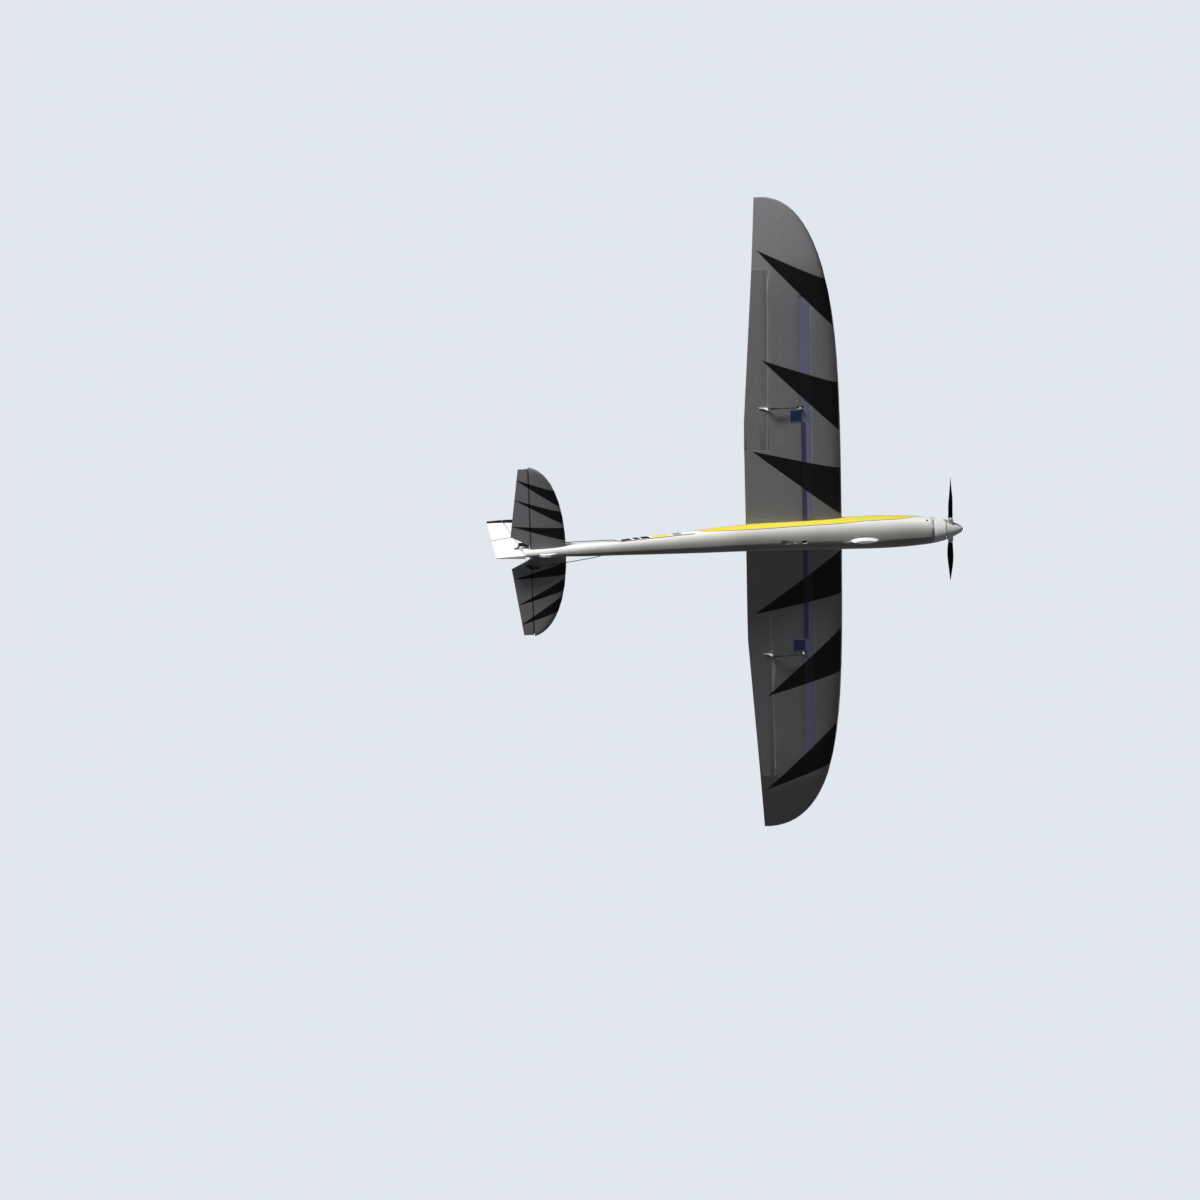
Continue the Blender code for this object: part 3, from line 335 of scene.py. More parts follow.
def foam(name, paint):
    """Bead foam; paint(flow, across, aft, up) gives its colour and how much of it is painted."""
    flow = start(name)
    colour, painted = paint(flow, *drawing_axes(flow))
    beads = {"Vector": here(flow), "Scale": BEADS}
    cells = flow.add("TexVoronoi", {"feature": "DISTANCE_TO_EDGE"}, beads)
    creases = cells.maths("MULTIPLY", CREASE_SHARPNESS, clamp=True)
    mottle = noise(flow, PATCHES, 4.0)
    soiled = (mottle * SOIL_IN_PATCHES + (1 - creases) * SOIL_IN_CREASES) * (1 - painted)
    relief = bump(flow, creases * (1 - painted * PAINT_FILLS), BEAD_DEPTH, BEAD_STRENGTH)
    gloss = BARE_ROUGHNESS - painted * PAINT_SMOOTHS + mottle * 0.08
    return close(flow, Base_Color=soiled.over(colour, SOIL), Roughness=gloss, Normal=relief,
                 Specular_IOR_Level=0.3)


def facing_up(flow):
    """How far the surface faces up: 1 for level, 0 for upright and -1 for a ceiling."""
    return axis(flow, flow.add("NewGeometry", {}, {}, "Normal"), 2)


def facing_down(flow, shaded_hinge_faces):
    """1 where the surface faces the ground, and on the upright faces inside a hinge, which get the
    underside's grey as painted shade.
    """
    rise = facing_up(flow)
    return (rise * -1).edge(0.1).either((0.5 - rise).edge(0.1) * shaded_hinge_faces)


def beside(across, aft, begin, end):
    """Distance in millimetres to one side of the line from begin to end."""
    along = Vector(end) - Vector(begin)
    normal = Vector((-along.y, along.x)).normalized()
    return across * normal.x + aft * normal.y - normal.dot(Vector(begin))


def dart(across, aft, point, outer, inner):
    """A long black triangle: its point, and the two ends of its base on the leading edge."""
    outside = beside(across, aft, point, outer)
    inside = beside(across, aft, point, inner)
    return (0 - outside).edge(0.8) * inside.edge(0.8)


print("foam, with", round(1000 / BEADS, 1), "mm beads")

# %% [markdown]
# ## The wing's scheme
#
# Under each wing are three long black darts. Each has its base on the leading edge and its point
# nearly at the trailing edge, swept outwards. The underside is a mid grey that is partly painted
# shade: it is darker than the paint alone, to stand for the shade under the wing. The upright faces
# inside the aileron's hinge take the same grey, as painted shade in the gap. The ailerons' hinges
# and outer ends are bare foam, which shows as thin light lines, toned down by the same painted
# shade. The top carries a yellow and a black band near each tip.

# %% Wing foam
WING_DARTS = (
    ((643, 419), (578, 283), (474, 268)),
    ((400, 413), (344, 259), (236, 257)),
    ((194, 437), (149, 255), (42, 255)),
)
HINGE_INNER, HINGE_OUTER = (196, 404), (602, 398)
HINGE_SWEEP = (HINGE_INNER[1] - HINGE_OUTER[1]) / (HINGE_OUTER[0] - HINGE_INNER[0])
AILERON_BAY = (190, 608)
INNER_END, OUTER_END = 195, 603
AILERON_AFT = (398, 460)
BAND_SWEEP = 0.42
WING_BAND, WING_LINES = (560, 640), (549, 651)


def all_darts(span, aft, corners):
    """Every dart of a set, as one mask."""
    first, *others = (dart(span, aft, *three) for three in corners)
    return first.either(*others)


def hinge_line(span):
    """The aileron's hinge, a little nearer the nose at its outer end."""
    return HINGE_INNER[1] - (span - HINGE_INNER[0]) * HINGE_SWEEP


def wing_paint(flow, across, aft, up):
    """Darts below, bands above."""
    span = across.size()
    behind_hinge = aft - hinge_line(span)
    # The upright faces inside the aileron's hinge get the underside grey: painted shade in the gap.
    under = facing_down(flow, behind_hinge.near(0, 7) * span.within(*AILERON_BAY))
    darts = all_darts(span, aft, WING_DARTS)
    hinge = behind_hinge.near(0.6, 1.2, 0.8) * span.within(INNER_END, OUTER_END + 1, 1.0)
    ends = span.near(OUTER_END, 0.9, 0.8).either(span.near(INNER_END, 0.7, 0.8))
    ends = ends * aft.within(*AILERON_AFT)
    # The bare-foam lines take a darker grey than white: bare foam with painted shade.
    below = darts.over(hinge.either(ends).over(UNDERSIDE_GREY_AND_SHADE, BARE_FOAM_WITH_PAINTED_SHADE), BLACK)
    sweep = span - (aft - 300) * BAND_SWEEP
    band = sweep.within(*WING_BAND)
    line = sweep.near(WING_LINES[0], 4).either(sweep.near(WING_LINES[1], 4))
    above = line.over(band.over(WHITE, YELLOW), BLACK)
    painted = (under * darts + (1 - under) * band.either(line)) * PAINT_COVER
    return under.over(above, below), painted


wing_foam = foam("wing foam", wing_paint)
print(wing_foam.name, len(wing_foam.node_tree.nodes), "nodes")

# %% [markdown]
# ## The tail's scheme
#
# The tailplane repeats the wing's darts at a smaller size. The fin and rudder are white, with a
# black band along the top edge and a thin dark line low down that ends in a yellow flash.

# %% Tail foam
TAIL_DARTS = (
    ((174, 931), (144, 853), (110, 846)),
    ((127, 936), (95, 842), (67, 838)),
    ((63, 942), (56, 837), (26, 832)),
)
ELEVATOR_HINGE = 904
TAIL_BAND, TAIL_LINE = (150, 172), 145.5
FIN_MARKS = 940
CROWN, LOW_LINE, FLASH = 109.5, 45, 43.5


def tail_paint(flow, across, aft, up):
    """Darts below, a yellow tip above."""
    span = across.size()
    # The upright faces inside the elevator's hinge get the underside grey: painted shade in the
    # gap.
    under = facing_down(flow, aft.near(ELEVATOR_HINGE, 6))
    darts = all_darts(span, aft, TAIL_DARTS)
    # The underside grey below is partly painted shade.
    below = darts.over(UNDERSIDE_GREY_AND_SHADE, BLACK)
    sweep = span - (aft - 880) * BAND_SWEEP
    band = sweep.within(*TAIL_BAND)
    line = sweep.near(TAIL_LINE, 1.5)
    above = line.over(band.over(WHITE, YELLOW), BLACK)
    painted = (under * darts + (1 - under) * band.either(line)) * PAINT_COVER
    return under.over(above, below), painted


def fin_paint(flow, across, aft, up):
    """White, with a black top edge and a low dark line that starts in a yellow flash."""
    rise = (aft - FIN_MARKS) * 0.12
    crown = (up - (CROWN + rise)).edge()
    low_line = (up + rise).near(LOW_LINE, 1.1) * (aft - FIN_MARKS).edge()
    flash = (up + rise).near(FLASH, 2.4) * aft.within(FIN_MARKS - 20, FIN_MARKS + 4)
    mark = crown.either(low_line)
    return mark.over(flash.over(WHITE, YELLOW), BLACK), mark.either(flash)


tail_foam = foam("tail foam", tail_paint)
fin_foam = foam("fin foam", fin_paint)
print(tail_foam.name, "and", fin_foam.name)

# %% [markdown]
# ## The fuselage's scheme
#
# A yellow stripe runs from the canopy's front corner, under the canopy and the wing, and tapers
# out on the boom. A thin dark line follows its lower edge. Behind it come a few plain dashes in
# black, yellow and grey over a thin underline. Two smooth lines drawn through a few points give
# the stripe's edges, and the point's height against them gives the mask.

# %% Fuselage foam
STRIPE_TOP = ((80, 14), (100, 20), (150, 20), (240, 19), (330, 12), (453, 15), (511, 13.5),
              (566, 6))
STRIPE_FOOT = ((80, 13), (104, 3), (128, -4.5), (173, -7), (205, -7), (255, -9.3), (330, -8.4),
               (440, -8.5), (511, -6.5), (546, -3), (566, 5))
LINE_INK = (0.10, 0.09, 0.08, 1)
DASHES = (
    (590, 608, GREY), (614, 650, YELLOW), (657, 674, BLACK), (678, 690, BLACK), (695, 713, BLACK),
)
STRIPE_ENDS, LINE_ENDS, UNDERLINE_ENDS = (80, 566), (84, 600), (560, 716)
BOOM_START, BOOM_MIDDLE, BOOM_SLOPE = 560, -3.5, 0.045
DASH_SLANT, DASH_HALF_HEIGHT = 0.8, 5.2
BELLY_STARTS, BELLY_BLEND = 0.62, 0.6


def body_paint(flow, across, aft, up):
    """A stripe, its line, dashes on the boom, a parting line on the keel, painted shade on the
    belly.
    """
    foot = aft.profile(STRIPE_FOOT)
    between = (aft.profile(STRIPE_TOP) - up).edge() * (up - foot).edge()
    stripe = between * aft.within(*STRIPE_ENDS)
    line = (up - foot).near(-1.3, 0.8) * aft.within(*LINE_ENDS)
    middle = BOOM_MIDDLE - (aft - BOOM_START) * BOOM_SLOPE
    slant = aft - (up - middle) * DASH_SLANT
    band = (up - middle).near(0, DASH_HALF_HEIGHT)
    colour = line.over(stripe.over(WHITE, YELLOW), LINE_INK)
    painted = stripe.either(line)
    for first, last, ink in DASHES:
        dash = slant.within(first, last) * band
        colour = dash.over(colour, ink)
        painted = painted.either(dash)
    underline = (up - middle).near(-7.2, 1.2) * aft.within(*UNDERLINE_ENDS)
    parting = across.near(0, 0.25, 0.3) * 0.5
    colour = underline.either(parting).over(colour, LINE_INK)
    # Painted shade: the belly darkens where it faces the ground, in uneven patches.
    shade_patches = 0.55 + noise(flow, 9.0, 4.0) * 0.45
    belly = (facing_up(flow) * -1 - BELLY_STARTS).edge(BELLY_BLEND) * shade_patches
    return belly.over(colour, BELLY_PAINTED_SHADE), painted


body_foam = foam("fuselage foam", body_paint)
print(body_foam.name, len(body_foam.node_tree.nodes), "nodes")

# %% [markdown]
# ## Plastics, film, wire and metal
#
# The small parts are moulded nylon, painted foam, film, spring wire and turned metal. One recipe
# makes them all: a mottled colour, an uneven gloss and a fine grain, each at its own scale. A
# clear coat gives the canopy and the film their wet shine, and a stretched noise gives wood and
# carbon their direction.

# %% Small parts' finishes
FINISHES = {
    "white_plastic": plain("white nylon", (0.80, 0.80, 0.79), 0.36, depth=0.02),
    "black_plastic": plain("black nylon", (0.010, 0.010, 0.012), 0.42, depth=0.03, vary=0.3),
    "blade": plain("propeller nylon", (0.010, 0.010, 0.012), 0.8, depth=0.03, vary=0.3,
                   Specular_IOR_Level=0.0),
    "black_gloss": plain("canopy paint", (0.008, 0.008, 0.010), 0.16, grain=60, depth=0.02,
                         vary=0.3, Coat_Weight=0.9, Coat_Roughness=0.06),
    "bright_metal": plain("polished aluminium", (0.74, 0.74, 0.75), 0.24, vary=0.04,
                          Metallic=1.0),
    "dark_metal": plain("anodised metal", (0.07, 0.07, 0.08), 0.3, Metallic=1.0),
    "copper": plain("copper windings", (0.62, 0.30, 0.14), 0.3, grain=900, depth=0.2,
                    Metallic=1.0),
    "black_wire": plain("blackened wire", (0.010, 0.010, 0.012), 0.5, Specular_IOR_Level=0.25),
    "blue_wrap": plain("servo case", (0.04, 0.10, 0.34), 0.22, Coat_Weight=0.5),
}


def streaked(name, dark, light, roughness, scale, stretch, **sockets):
    """Wood grain or carbon fibre: noise pulled out along one direction."""
    flow = start(name)
    streaks = noise(flow, scale, 4.0, stretch)
    return close(flow, Base_Color=streaks.over(dark, light), Roughness=roughness + streaks * 0.1,
                 Normal=bump(flow, streaks, 0.08), **sockets)


FINISHES["plywood"] = streaked("birch ply", (0.42, 0.28, 0.15, 1), (0.72, 0.55, 0.34, 1), 0.6, 60,
                               (6, 1, 6))
FINISHES["carbon"] = streaked("carbon tube", (0.01, 0.01, 0.012, 1), (0.06, 0.06, 0.07, 1), 0.3,
                              200, (1, 12, 1), Coat_Weight=0.5)
print(len(FINISHES), "finishes for the small parts")

# %% [markdown]
# ## Film and shrink wrap
#
# The band over each wing spar, the servo covers and the battery are printed film. The blue of the
# spar band and of the servo covers is painted reflection of the sky in their glossy film, and the
# spar band's dark grey is painted shade. The wing's darts are printed over the spar band, so the
# band asks for the same darts at the same places. A servo cover has a paler rim where the film
# turns down, and the battery's sleeve has a plain pale label.

# %% Printed film
# The spar band's blue is painted reflection of the sky, and its darkness is painted shade.
SPAR_SKY_REFLECTION_BLUE, SPAR_DARK = (0.22, 0.225, 0.36), (0.075, 0.065, 0.15, 1)
DARK_BEHIND, DARK_INSIDE = 325, 258
# The servo covers' navy is painted reflection of the sky in the glossy film.
COVER_SKY_REFLECTION_NAVY, COVER_RIM = (0.025, 0.035, 0.13), (0.20, 0.21, 0.33, 1)
SLEEVE, LABEL = (0.02, 0.035, 0.10), (0.66, 0.67, 0.68, 1)
LABEL_SHARE, RULE_INSET, RULE_HALF = 0.27, 3, 1.2


def film(name, paint):
    """Smooth printed film with a clear coat; paint(across, aft, up, tint) gives its colour."""
    flow = start(name)
    colour = paint(*drawing_axes(flow), noise(flow, 26.0, 3.0))
    gloss = 0.32 + noise(flow, GLOSS_PATCHES) * GLOSS_SPREAD
    relief = bump(flow, noise(flow, 120.0), 0.03)
    return close(flow, Base_Color=colour, Roughness=gloss, Normal=relief, Coat_Weight=0.25,
                 Coat_Roughness=0.15)


def band_darts_and_painted_reflection(across, aft, up, tint):
    """Blue-grey that is painted sky reflection and painted shade, darker along the back half near
    the root, with the wing's darts over it.
    """
    span = across.size()
    shade = tint.over(*shades(SPAR_SKY_REFLECTION_BLUE, 0.12))
    back_half = (aft - DARK_BEHIND).edge(3.0) * (DARK_INSIDE - span).edge(4.0)
    shade = back_half.over(shade, SPAR_DARK)
    return all_darts(span, aft, WING_DARTS).over(shade, BLACK)


def cover_rim_and_painted_reflection(across, aft, up, tint):
    """Navy, a painted reflection of the sky, inside a paler rim."""
    inside = across.size().within(260, 286) * aft.within(333, 356)
    return inside.over(COVER_RIM, tint.over(*shades(COVER_SKY_REFLECTION_NAVY, 0.2)))


def battery_ink(across, aft, up, tint):
    """A dark sleeve with a pale label between two yellow rules."""
    low, high = (value.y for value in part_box("battery_pack"))
    middle = ((low + high) / 2 - NOSE) / MM
    half = (high - low) / MM * LABEL_SHARE
    sleeve = tint.over(*shades(SLEEVE, 0.2))
    label = aft.near(middle, half).over(sleeve, LABEL)
    return (aft - middle).size().near(half - RULE_INSET, RULE_HALF).over(label, YELLOW)


FINISHES["blue_grey"] = film("spar film", band_darts_and_painted_reflection)
FINISHES["battery_wrap"] = film("battery sleeve", battery_ink)
COVER_FILM = film("servo cover film", cover_rim_and_painted_reflection)
FOAMS = {"wing": wing_foam, "aileron": wing_foam, "stabiliser": tail_foam, "elevator": tail_foam,
         "tail": fin_foam, "rudder": fin_foam, "fuselage": body_foam}
print(len(FINISHES) + len(set(FOAMS.values())) + 1, "finishes in all")

# %% [markdown]
# ## Smooth skins and eased edges
#
# The CAD pieces come as loose triangles, which shade as flat facets. A copy whose corners are
# merged can be shaded smoothly, with its real corners kept sharp, and a bevel eases those corners
# as a mould does. The copy rides on the same body and stands for the CAD piece. Weighing each
# normal by the size of its faces keeps the flat skins flat. The fuselage and the cowl are round
# all over and do better without, and the cowl keeps its shallowest corners too, so that its rear
# rim stays crisp.

# %% Smooth copies of the CAD pieces
MERGE = 2e-6
SHARP = math.radians(24)
CRISP = math.radians(14)
EASE = {
    "white_plastic": 0.25, "black_plastic": 0.2, "plywood": 0.15, "blue_grey": 0.1,
    "bright_metal": 0.12, "dark_metal": 0.2, "carbon": 0.15,
}
ROUND = ("nose_cowl", "fuselage")
UNEASED = (
    "propeller_yoke", "nose_cowl", "spinner_cone", "blade_left", "blade_right", "battery_tray",
)


def finished(name, bm, body, stuff, ease=0.0):
    """A finished piece: smooth shading, sharp corners kept, edges eased, riding on its body."""
    mesh = bpy.data.meshes.new(name)
    bm.to_mesh(mesh)
    bm.free()
    mesh.materials.clear()
    mesh.materials.append(stuff)
    mesh.shade_smooth()
    mesh.set_sharp_from_angle(angle=CRISP if name.startswith("nose_cowl") else SHARP)
    obj = bpy.data.objects.new(name, mesh)
    bpy.context.scene.collection.objects.link(obj)
    if ease:
        bevel = obj.modifiers.new("eased edges", "BEVEL")
        bevel.width = ease * MM
        bevel.segments = 2
        bevel.limit_method = "ANGLE"
        bevel.angle_limit = SHARP
        bevel.use_clamp_overlap = True
    if not name.startswith(ROUND):
        even = obj.modifiers.new("even shading", "WEIGHTED_NORMAL")
        even.keep_sharp = True
    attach(obj, body)
    return obj


def merged(node):
    """A bmesh copy of a CAD piece with its corners merged."""
    bm = bmesh.new()
    bm.from_mesh(NODES[node].data)
    for layers in (bm.loops.layers.uv, bm.loops.layers.color, bm.loops.layers.float_vector):
        for layer in list(layers.values()):
            layers.remove(layer)
    bmesh.ops.remove_doubles(bm, verts=bm.verts, dist=MERGE)
    bmesh.ops.dissolve_degenerate(bm, edges=bm.edges, dist=MERGE)
    return bm


def finish_of(node):
    """The finish of a CAD piece, from its slot, or from its kind for foam."""
    first_word = node.split("_")[0]
    if SLOT_OF[node] == "foam":
        return FOAMS[first_word]
    if node.startswith("servo_cover"):
        return COVER_FILM
    return FINISHES["blade" if first_word == "blade" and "pin" not in node else SLOT_OF[node]]


for node in sorted(NODES):
    slot = SLOT_OF[node]
    ease = 0.0 if node in UNEASED else EASE.get(slot, 0.0)
    skin = finished(node + "_skin", merged(node), BODY_OF[node], finish_of(node), ease)
    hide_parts(node)
print(len(NODES), "smooth skins")

# %% [markdown]
# ## Finding places on a skin
#
# Screws and mould marks sit on curved skins. Working out each height by hand would be slow and
# would break if the skin changed. A BVH tree answers it: send a line at the merged skin, and it
# gives the point where the line lands and the way the skin faces there. Each small part is
# modelled once, upright at the origin, and a copy is stood on every landing place.

# %% Standing small parts on a skin
DOWN, UP = Vector((0, 0, -1)), Vector((0, 0, 1))
LEFT, RIGHT = Vector((1, 0, 0)), Vector((-1, 0, 0))
SIDES = (("left", 1), ("right", -1))
FAR_BELOW = -60


def tree_of(node):
    """A piece's merged skin, ready for lines to be sent at it."""
    bm = merged(node)
    tree = BVHTree.FromBMesh(bm)
    bm.free()
    return tree


def landing(node, place, way):
    """Where a line from a place meets a piece's skin and the way the skin faces, or None."""
    point, outward, _, _ = tree_of(node).ray_cast(place, way)
    return (point, outward) if point else None


def stood(name, shape, landings, size, body, stuff, ease=0.0):
    """One piece made of copies of a shape, each stood on a landing; size is its radius in mm."""
    together = bmesh.new()
    for point, outward in landings:
        mesh = bpy.data.meshes.new("copy")
        shape().to_mesh(mesh)
        turn = outward.to_track_quat("Z", "Y").to_matrix().to_4x4()
        mesh.transform(Matrix.Translation(point) @ turn @ Matrix.Scale(size * MM, 4))
        together.from_mesh(mesh)
        bpy.data.meshes.remove(mesh)
    return finished(name, together, body, stuff, ease)


print("small parts can be stood on skins")

# %% [markdown]
# ## Mould marks
#
# Bead foam is blown with steam, and the mould's vents leave rows of small round marks. Under the
# wings they are a few millimetres across and stand up by the thickness of paper. Each mark is a low
# cone without a foot, sunk a little into the skin, and the rows simply stop where the lines miss
# the wing. Painted marks stay black where a dart crosses them, and elsewhere are paler than the
# grey; that paler grey is bare foam with painted shade.

# %% Mould marks under the wings and tail
MARK_PITCH = 38
WING_ROWS, WING_MARKS = (292, 376), range(64, 720, MARK_PITCH)
TAIL_ROWS, TAIL_MARKS = (872,), range(28, 190, 27)
AILERON_ROWS, AILERON_MARKS = (424,), range(210, 600, MARK_PITCH)
MARK_SIZE, SMALL_MARK_SIZE = 1.7, 1.5


def mark():
    """A low round mark of radius 1, rooted a little under the skin."""
    bm = bmesh.new()
    bmesh.ops.create_cone(bm, cap_ends=True, segments=12, radius1=1, radius2=0.8, depth=0.24)
    foot = min(bm.faces, key=lambda face: face.calc_center_median().z)
    bmesh.ops.delete(bm, geom=[foot], context="FACES_ONLY")
    bmesh.ops.translate(bm, vec=(0, 0, -0.05), verts=bm.verts)
    return bm


def mark_paint(flow, across, aft, up):
    """Bare foam grey darkened as painted shade, black inside a dart."""
    wing_darts = all_darts(across.size(), aft, WING_DARTS)
    darts = wing_darts.either(all_darts(across.size(), aft, TAIL_DARTS))
    return darts.over(BARE_FOAM_WITH_PAINTED_SHADE, BLACK), darts


def row(node, spans, stations, side):
    """Landings of lines sent up at a piece, span by span."""
    places = [spot(side * span, station, FAR_BELOW) for station in stations for span in spans]
    found = [landing(node, place, UP) for place in places]
    return [place for place in found if place]


mark_foam = foam("worn foam", mark_paint)
for side_name, side in SIDES:
    under_wing = row("wing_" + side_name, WING_MARKS, WING_ROWS, side)
    under_tail = row("stabiliser_" + side_name, TAIL_MARKS, TAIL_ROWS, side)
    stood("mould_marks_" + side_name, mark, under_wing + under_tail, MARK_SIZE, "airframe",
          mark_foam)
    aileron = "aileron_" + side_name
    flap = row(aileron, AILERON_MARKS, AILERON_ROWS, side)
    stood("aileron_marks_" + side_name, mark, flap, SMALL_MARK_SIZE, aileron, mark_foam)
    print(side_name, len(under_wing), "wing,", len(under_tail), "tail,", len(flap), "aileron marks")

# %% [markdown]
# ## Hinge tape
#
# The gap in front of each elevator half is closed on top with thin tape, painted like the skin
# beside it, so that air doesn't leak through and no daylight shows from below. The tape is a flat
# grid laid on the stabiliser by dropping each corner onto the skin, then thickened. It reaches
# over the gap but stops before the elevator's own axis, so the elevator still turns under it.

# %% Hinge tape on the tailplane
TAPE_FRONT, TAPE_BACK, LAST_SKIN = 895.5, 902.0, 899.8
TAPE_SPANS = (9, 196)
TAPE_STEPS = 34
TAPE_LIFT, TAPE_THICK = 0.12, 0.1
FAR_ABOVE, TAIL_TOP = 40, -13


def tape(side):
    """A strip along a hinge, every corner a hair above the skin below it."""
    bm = bmesh.new()
    bmesh.ops.create_grid(bm, x_segments=TAPE_STEPS, y_segments=4, size=0.5)
    tree = tree_of("stabiliser_" + ("left" if side > 0 else "right"))
    for corner in bm.verts:
        span = TAPE_SPANS[0] + (TAPE_SPANS[1] - TAPE_SPANS[0]) * (corner.co.x + 0.5)
        station = TAPE_FRONT + (TAPE_BACK - TAPE_FRONT) * (corner.co.y + 0.5)
        above = spot(side * span, min(station, LAST_SKIN), FAR_ABOVE)
        below, _, _, _ = tree.ray_cast(above, DOWN)
        height = below.z if below else spot(0, 0, TAIL_TOP).z
        corner.co = spot(side * span, station, 0)
        corner.co.z = height + TAPE_LIFT * MM
    bmesh.ops.solidify(bm, geom=list(bm.faces), thickness=TAPE_THICK * MM)
    bmesh.ops.recalc_face_normals(bm, faces=bm.faces)
    return bm


for side_name, side in SIDES:
    strip = finished("hinge_tape_" + side_name, tape(side), "airframe",
                     FOAMS["stabiliser"])
    print(strip.name, len(strip.data.polygons), "faces")

# %% [markdown]
# ## Screws
#
# Small cross-head screws hold the servo covers and the motor's mount. The head starts as a low
# cone. Its top is inset, the ring is pinched between the arms of the cross, and the cross is
# pushed down. A bevel rounds the rim. A modelled cross catches the light from every side, which a
# bump can't do.

# %% Screws
COVER_SPANS, COVER_STATIONS = (261, 285), (334.5, 354.5)
MOUNT_STATION, MOUNT_HEIGHT, BESIDE = 77, -10, 60
COVER_SCREW, MOUNT_SCREW = 1.25, 2.1


def screw():
    """A cross-head screw of radius 1."""
    bm = bmesh.new()
    bmesh.ops.create_cone(bm, cap_ends=True, segments=24, radius1=1, radius2=0.94, depth=0.9)
    top = max(bm.faces, key=lambda face: face.calc_center_median().z)
    rim = list(top.edges)
    bmesh.ops.inset_region(bm, faces=[top], thickness=0.3)
    pinched = [corner for corner in top.verts if min(abs(corner.co.x), abs(corner.co.y)) > 0.2]
    bmesh.ops.scale(bm, vec=(0.36, 0.36, 1), verts=pinched)
    bmesh.ops.inset_region(bm, faces=[top], thickness=0.02, depth=-0.35)
    bmesh.ops.bevel(bm, geom=rim, affect="EDGES", offset=0.2, segments=3, profile=0.5, material=-1)
    return bm


metal = FINISHES["dark_metal"]
for side_name, side in SIDES:
    corners = [spot(side * span, station, FAR_BELOW)
               for span in COVER_SPANS for station in COVER_STATIONS]
    cover = [landing("servo_cover_" + side_name, corner, UP) for corner in corners]
    stood("cover_screws_" + side_name, screw, cover, COVER_SCREW, "airframe", metal)
    inward = LEFT if side < 0 else RIGHT
    outside = spot(side * BESIDE, MOUNT_STATION, MOUNT_HEIGHT)
    nose = [landing("fuselage_" + side_name, outside, inward)]
    stood("mount_screw_" + side_name, screw, nose, MOUNT_SCREW, "airframe", metal)
print(len(SIDES) * (len(cover) + len(nose)), "screws")

# %% [markdown]
# ## Clevises
#
# Each control rod ends in a black nylon clevis that snaps into a horn. It is a slim tapered body
# with a keeper pushed over its jaws. The rods run in several directions, so each clevis is made
# along the Z axis by spinning half of its outline, then laid on its rod. Two cuts through the
# merged rod, a little apart, give the rod's centre and its direction.

# %% Clevises on the control rods
CLEVIS = ((1.0, 0), (1.25, 0.4), (1.5, 5), (1.95, 8), (1.95, 13.6), (1.6, 14), (1.0, 14))
KEEPER = ((1.9, 9.2), (2.4, 9.5), (2.4, 11.9), (1.9, 12.2))
RODS = ("aileron_rod_left", "aileron_rod_right", "elevator_rod", "rudder_rod")
FOOT_FROM_END, SECOND_CUT = 20.5, 12


def centre_at(node, station):
    """The centre of a slim piece where a plane cuts it."""
    bm = merged(node)
    everything = bm.verts[:] + bm.edges[:] + bm.faces[:]
    cut = bmesh.ops.bisect_plane(bm, geom=everything, plane_co=spot(0, station, 0),
                                 plane_no=(0, 1, 0))["geom_cut"]
    ring = [corner.co.copy() for corner in cut if isinstance(corner, bmesh.types.BMVert)]
    bm.free()
    return sum(ring, Vector()) / len(ring)


def spun(outline):
    """A ring turned from (radius, along) points, in millimetres."""
    bm = bmesh.new()
    corners = [bm.verts.new((radius, 0, along)) for radius, along in outline]
    edges = [bm.edges.new(pair) for pair in zip(corners, corners[1:])]
    bmesh.ops.spin(bm, geom=corners + edges, cent=(0, 0, 0), axis=(0, 0, 1), angle=math.tau,
                   steps=20, use_merge=True)
    bmesh.ops.recalc_face_normals(bm, faces=bm.faces)
    return bm


def back_of(node):
    """The station of a piece's hindmost point."""
    return (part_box(node)[1].y - NOSE) / MM


for rod in RODS:
    station = back_of(rod) - FOOT_FROM_END
    foot = centre_at(rod, station)
    along = (centre_at(rod, station + SECOND_CUT) - foot).normalized()
    for part, outline in (("clevis", CLEVIS), ("keeper", KEEPER)):
        stood(f"{rod}_{part}", lambda: spun(outline), [(foot, along)], 1, BODY_OF[rod],
              FINISHES["black_plastic"])
print(len(RODS), "clevises with keepers")

# %% [markdown]
# ## Canopy grip
#
# The canopy is pulled off by its front, where a few low ribs give a thumb something to hold. Each
# rib is a short bar with rounded edges, half sunk in the canopy so that it follows the curve.

# %% Canopy grip
RIB_SIZE = (8, 1.1, 1.6)
RIB_STATIONS = (94, 97.5, 101, 104.5)
ABOVE_CANOPY = 90


def rib():
    """A rounded bar across the canopy, with its middle at the skin."""
    bm = bmesh.new()
    bmesh.ops.create_cube(bm, size=1)
    bmesh.ops.scale(bm, vec=RIB_SIZE, verts=bm.verts)
    bmesh.ops.bevel(bm, geom=bm.edges[:], affect="EDGES", offset=0.4, segments=3, profile=0.5,
                    material=-1)
    return bm


ribs = [landing("canopy", spot(0, station, ABOVE_CANOPY), DOWN) for station in RIB_STATIONS]
stood("canopy_grip", rib, ribs, 1, "canopy", FINISHES["black_plastic"])
print(len(ribs), "ribs")

# %% [markdown]
# ## Floor, sky and light
#
# A pale floor and a pale sky keep the shape easy to read. A soft lamp level with the wing, on the
# right and behind, stands for the low sun: it makes the white side bright and leaves the
# underside in a grey shade. A large lamp above lights the upper side. The sky is pale where the
# camera sees it and dimmer where it lights the glider, or the shade would be lost. The floor is
# drawn on its upper side only, so a camera that looks up from below it still sees the glider.

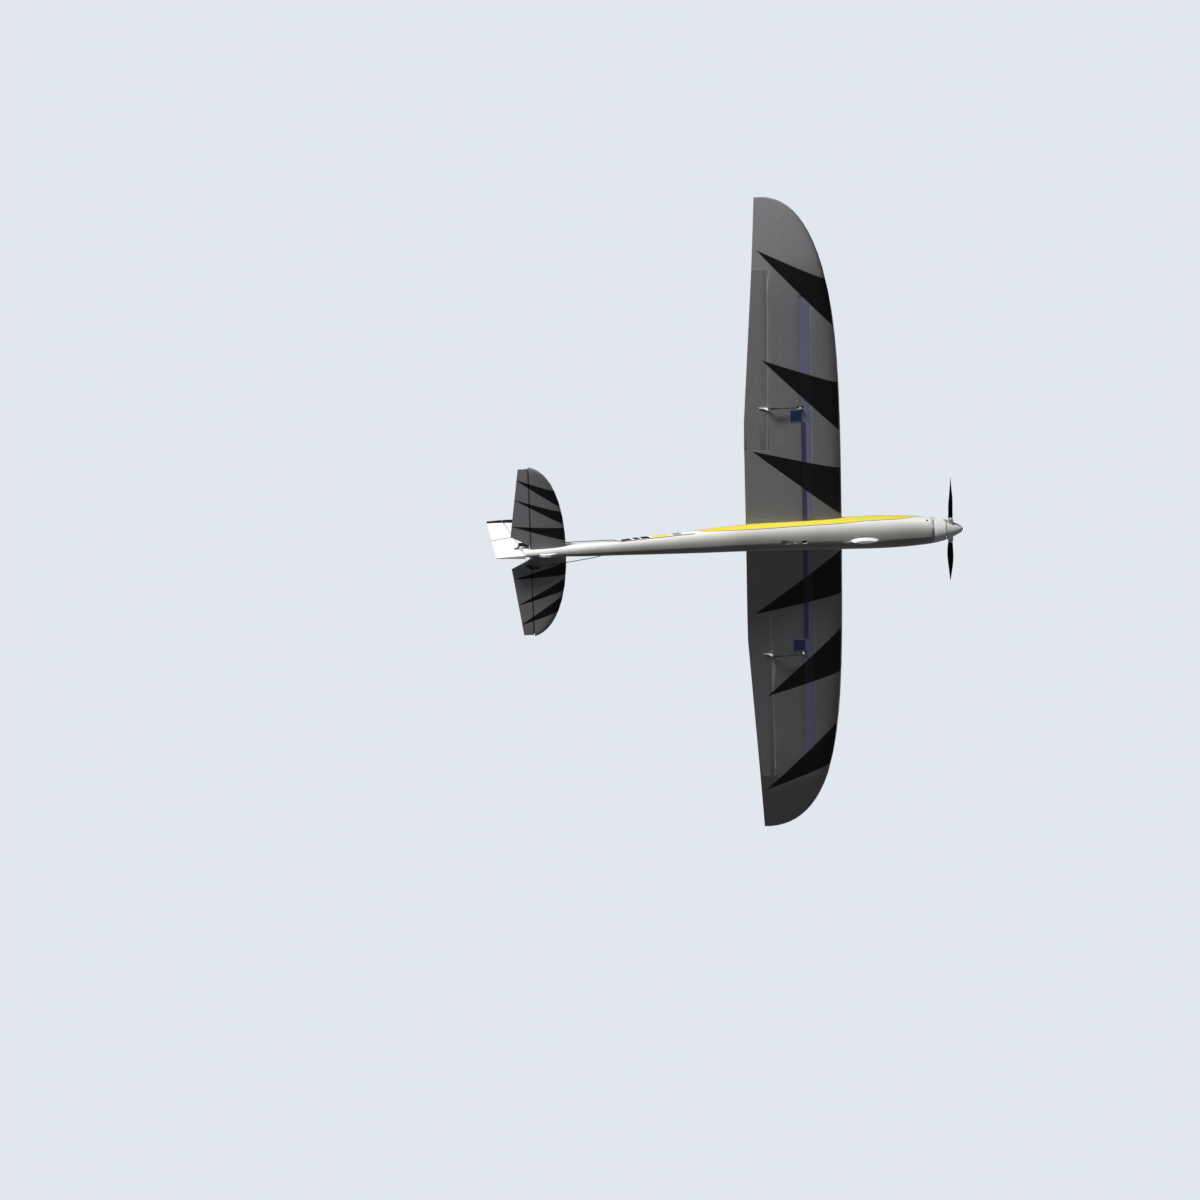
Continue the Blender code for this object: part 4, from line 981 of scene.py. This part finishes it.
# %% Stage
SKY_LIGHT, SKY_SEEN = (0.095, 0.095, 0.10, 1), (0.76, 0.80, 0.86, 1)
FLOOR_DARK, FLOOR_PALE = (0.32, 0.32, 0.33, 1), (0.36, 0.36, 0.37, 1)
FLOOR_GLOW = (0.50, 0.51, 0.53, 1)
FLOOR_SIZE, FLOOR_DROP = 60, 0.0005
LIT_POINT = Vector((0, 0, 0.05))
bpy.context.scene.view_settings.view_transform = "Standard"


def lamp(name, place, width, height, power):
    """A soft lamp aimed at the glider."""
    light = bpy.data.objects.new(name, bpy.data.lights.new(name, "AREA"))
    light.data.shape = "RECTANGLE"
    light.data.size = width
    light.data.size_y = height
    light.data.energy = power
    light.location = place
    light.rotation_mode = "QUATERNION"
    light.rotation_quaternion = (LIT_POINT - Vector(place)).to_track_quat("-Z", "Y")
    bpy.context.scene.collection.objects.link(light)


lamp("low sun", (-5.7, 3.4, -0.9), 3.0, 0.8, 620)
lamp("overhead", (4.0, -4.5, 6.5), 4.0, 4.0, 760)

world = bpy.data.worlds.new("sky")
bpy.context.scene.world = world
world.use_nodes = True
sky = Flow(world.node_tree)
seen = sky.add("LightPath", {}, {}, "Is Camera Ray")
shade = seen.over(SKY_LIGHT, SKY_SEEN)
world.node_tree.links.new(shade.socket, world.node_tree.nodes["Background"].inputs["Color"])

ground = start("floor")
tone = noise(ground, 0.8).over(FLOOR_DARK, FLOOR_PALE)
floor_paint = close(ground, Base_Color=tone, Roughness=0.9, Emission_Color=FLOOR_GLOW,
                    Emission_Strength=1.0)
underside = ground.add("NewGeometry", {}, {}, "Backfacing")
clear = ground.add("BsdfTransparent", {}, {})
solid = Flow(ground.tree, ground.tree.nodes["Principled BSDF"].outputs[0])
both = ground.add("MixShader", {}, {0: underside, 1: solid, 2: clear})
ground.tree.links.new(both.socket, ground.tree.nodes["Material Output"].inputs["Surface"])

floor_mesh = bmesh.new()
bmesh.ops.create_grid(floor_mesh, x_segments=1, y_segments=1, size=FLOOR_SIZE)
bmesh.ops.translate(floor_mesh, vec=(0, 0, -FLOOR_DROP), verts=floor_mesh.verts)
mesh = bpy.data.meshes.new("floor")
floor_mesh.to_mesh(mesh)
floor_mesh.free()
mesh.materials.append(floor_paint)
floor = bpy.data.objects.new("floor", mesh)
bpy.context.scene.collection.objects.link(floor)
for kind in ("diffuse", "glossy", "transmission", "shadow"):
    setattr(floor, "visible_" + kind, False)
print("stage is set")
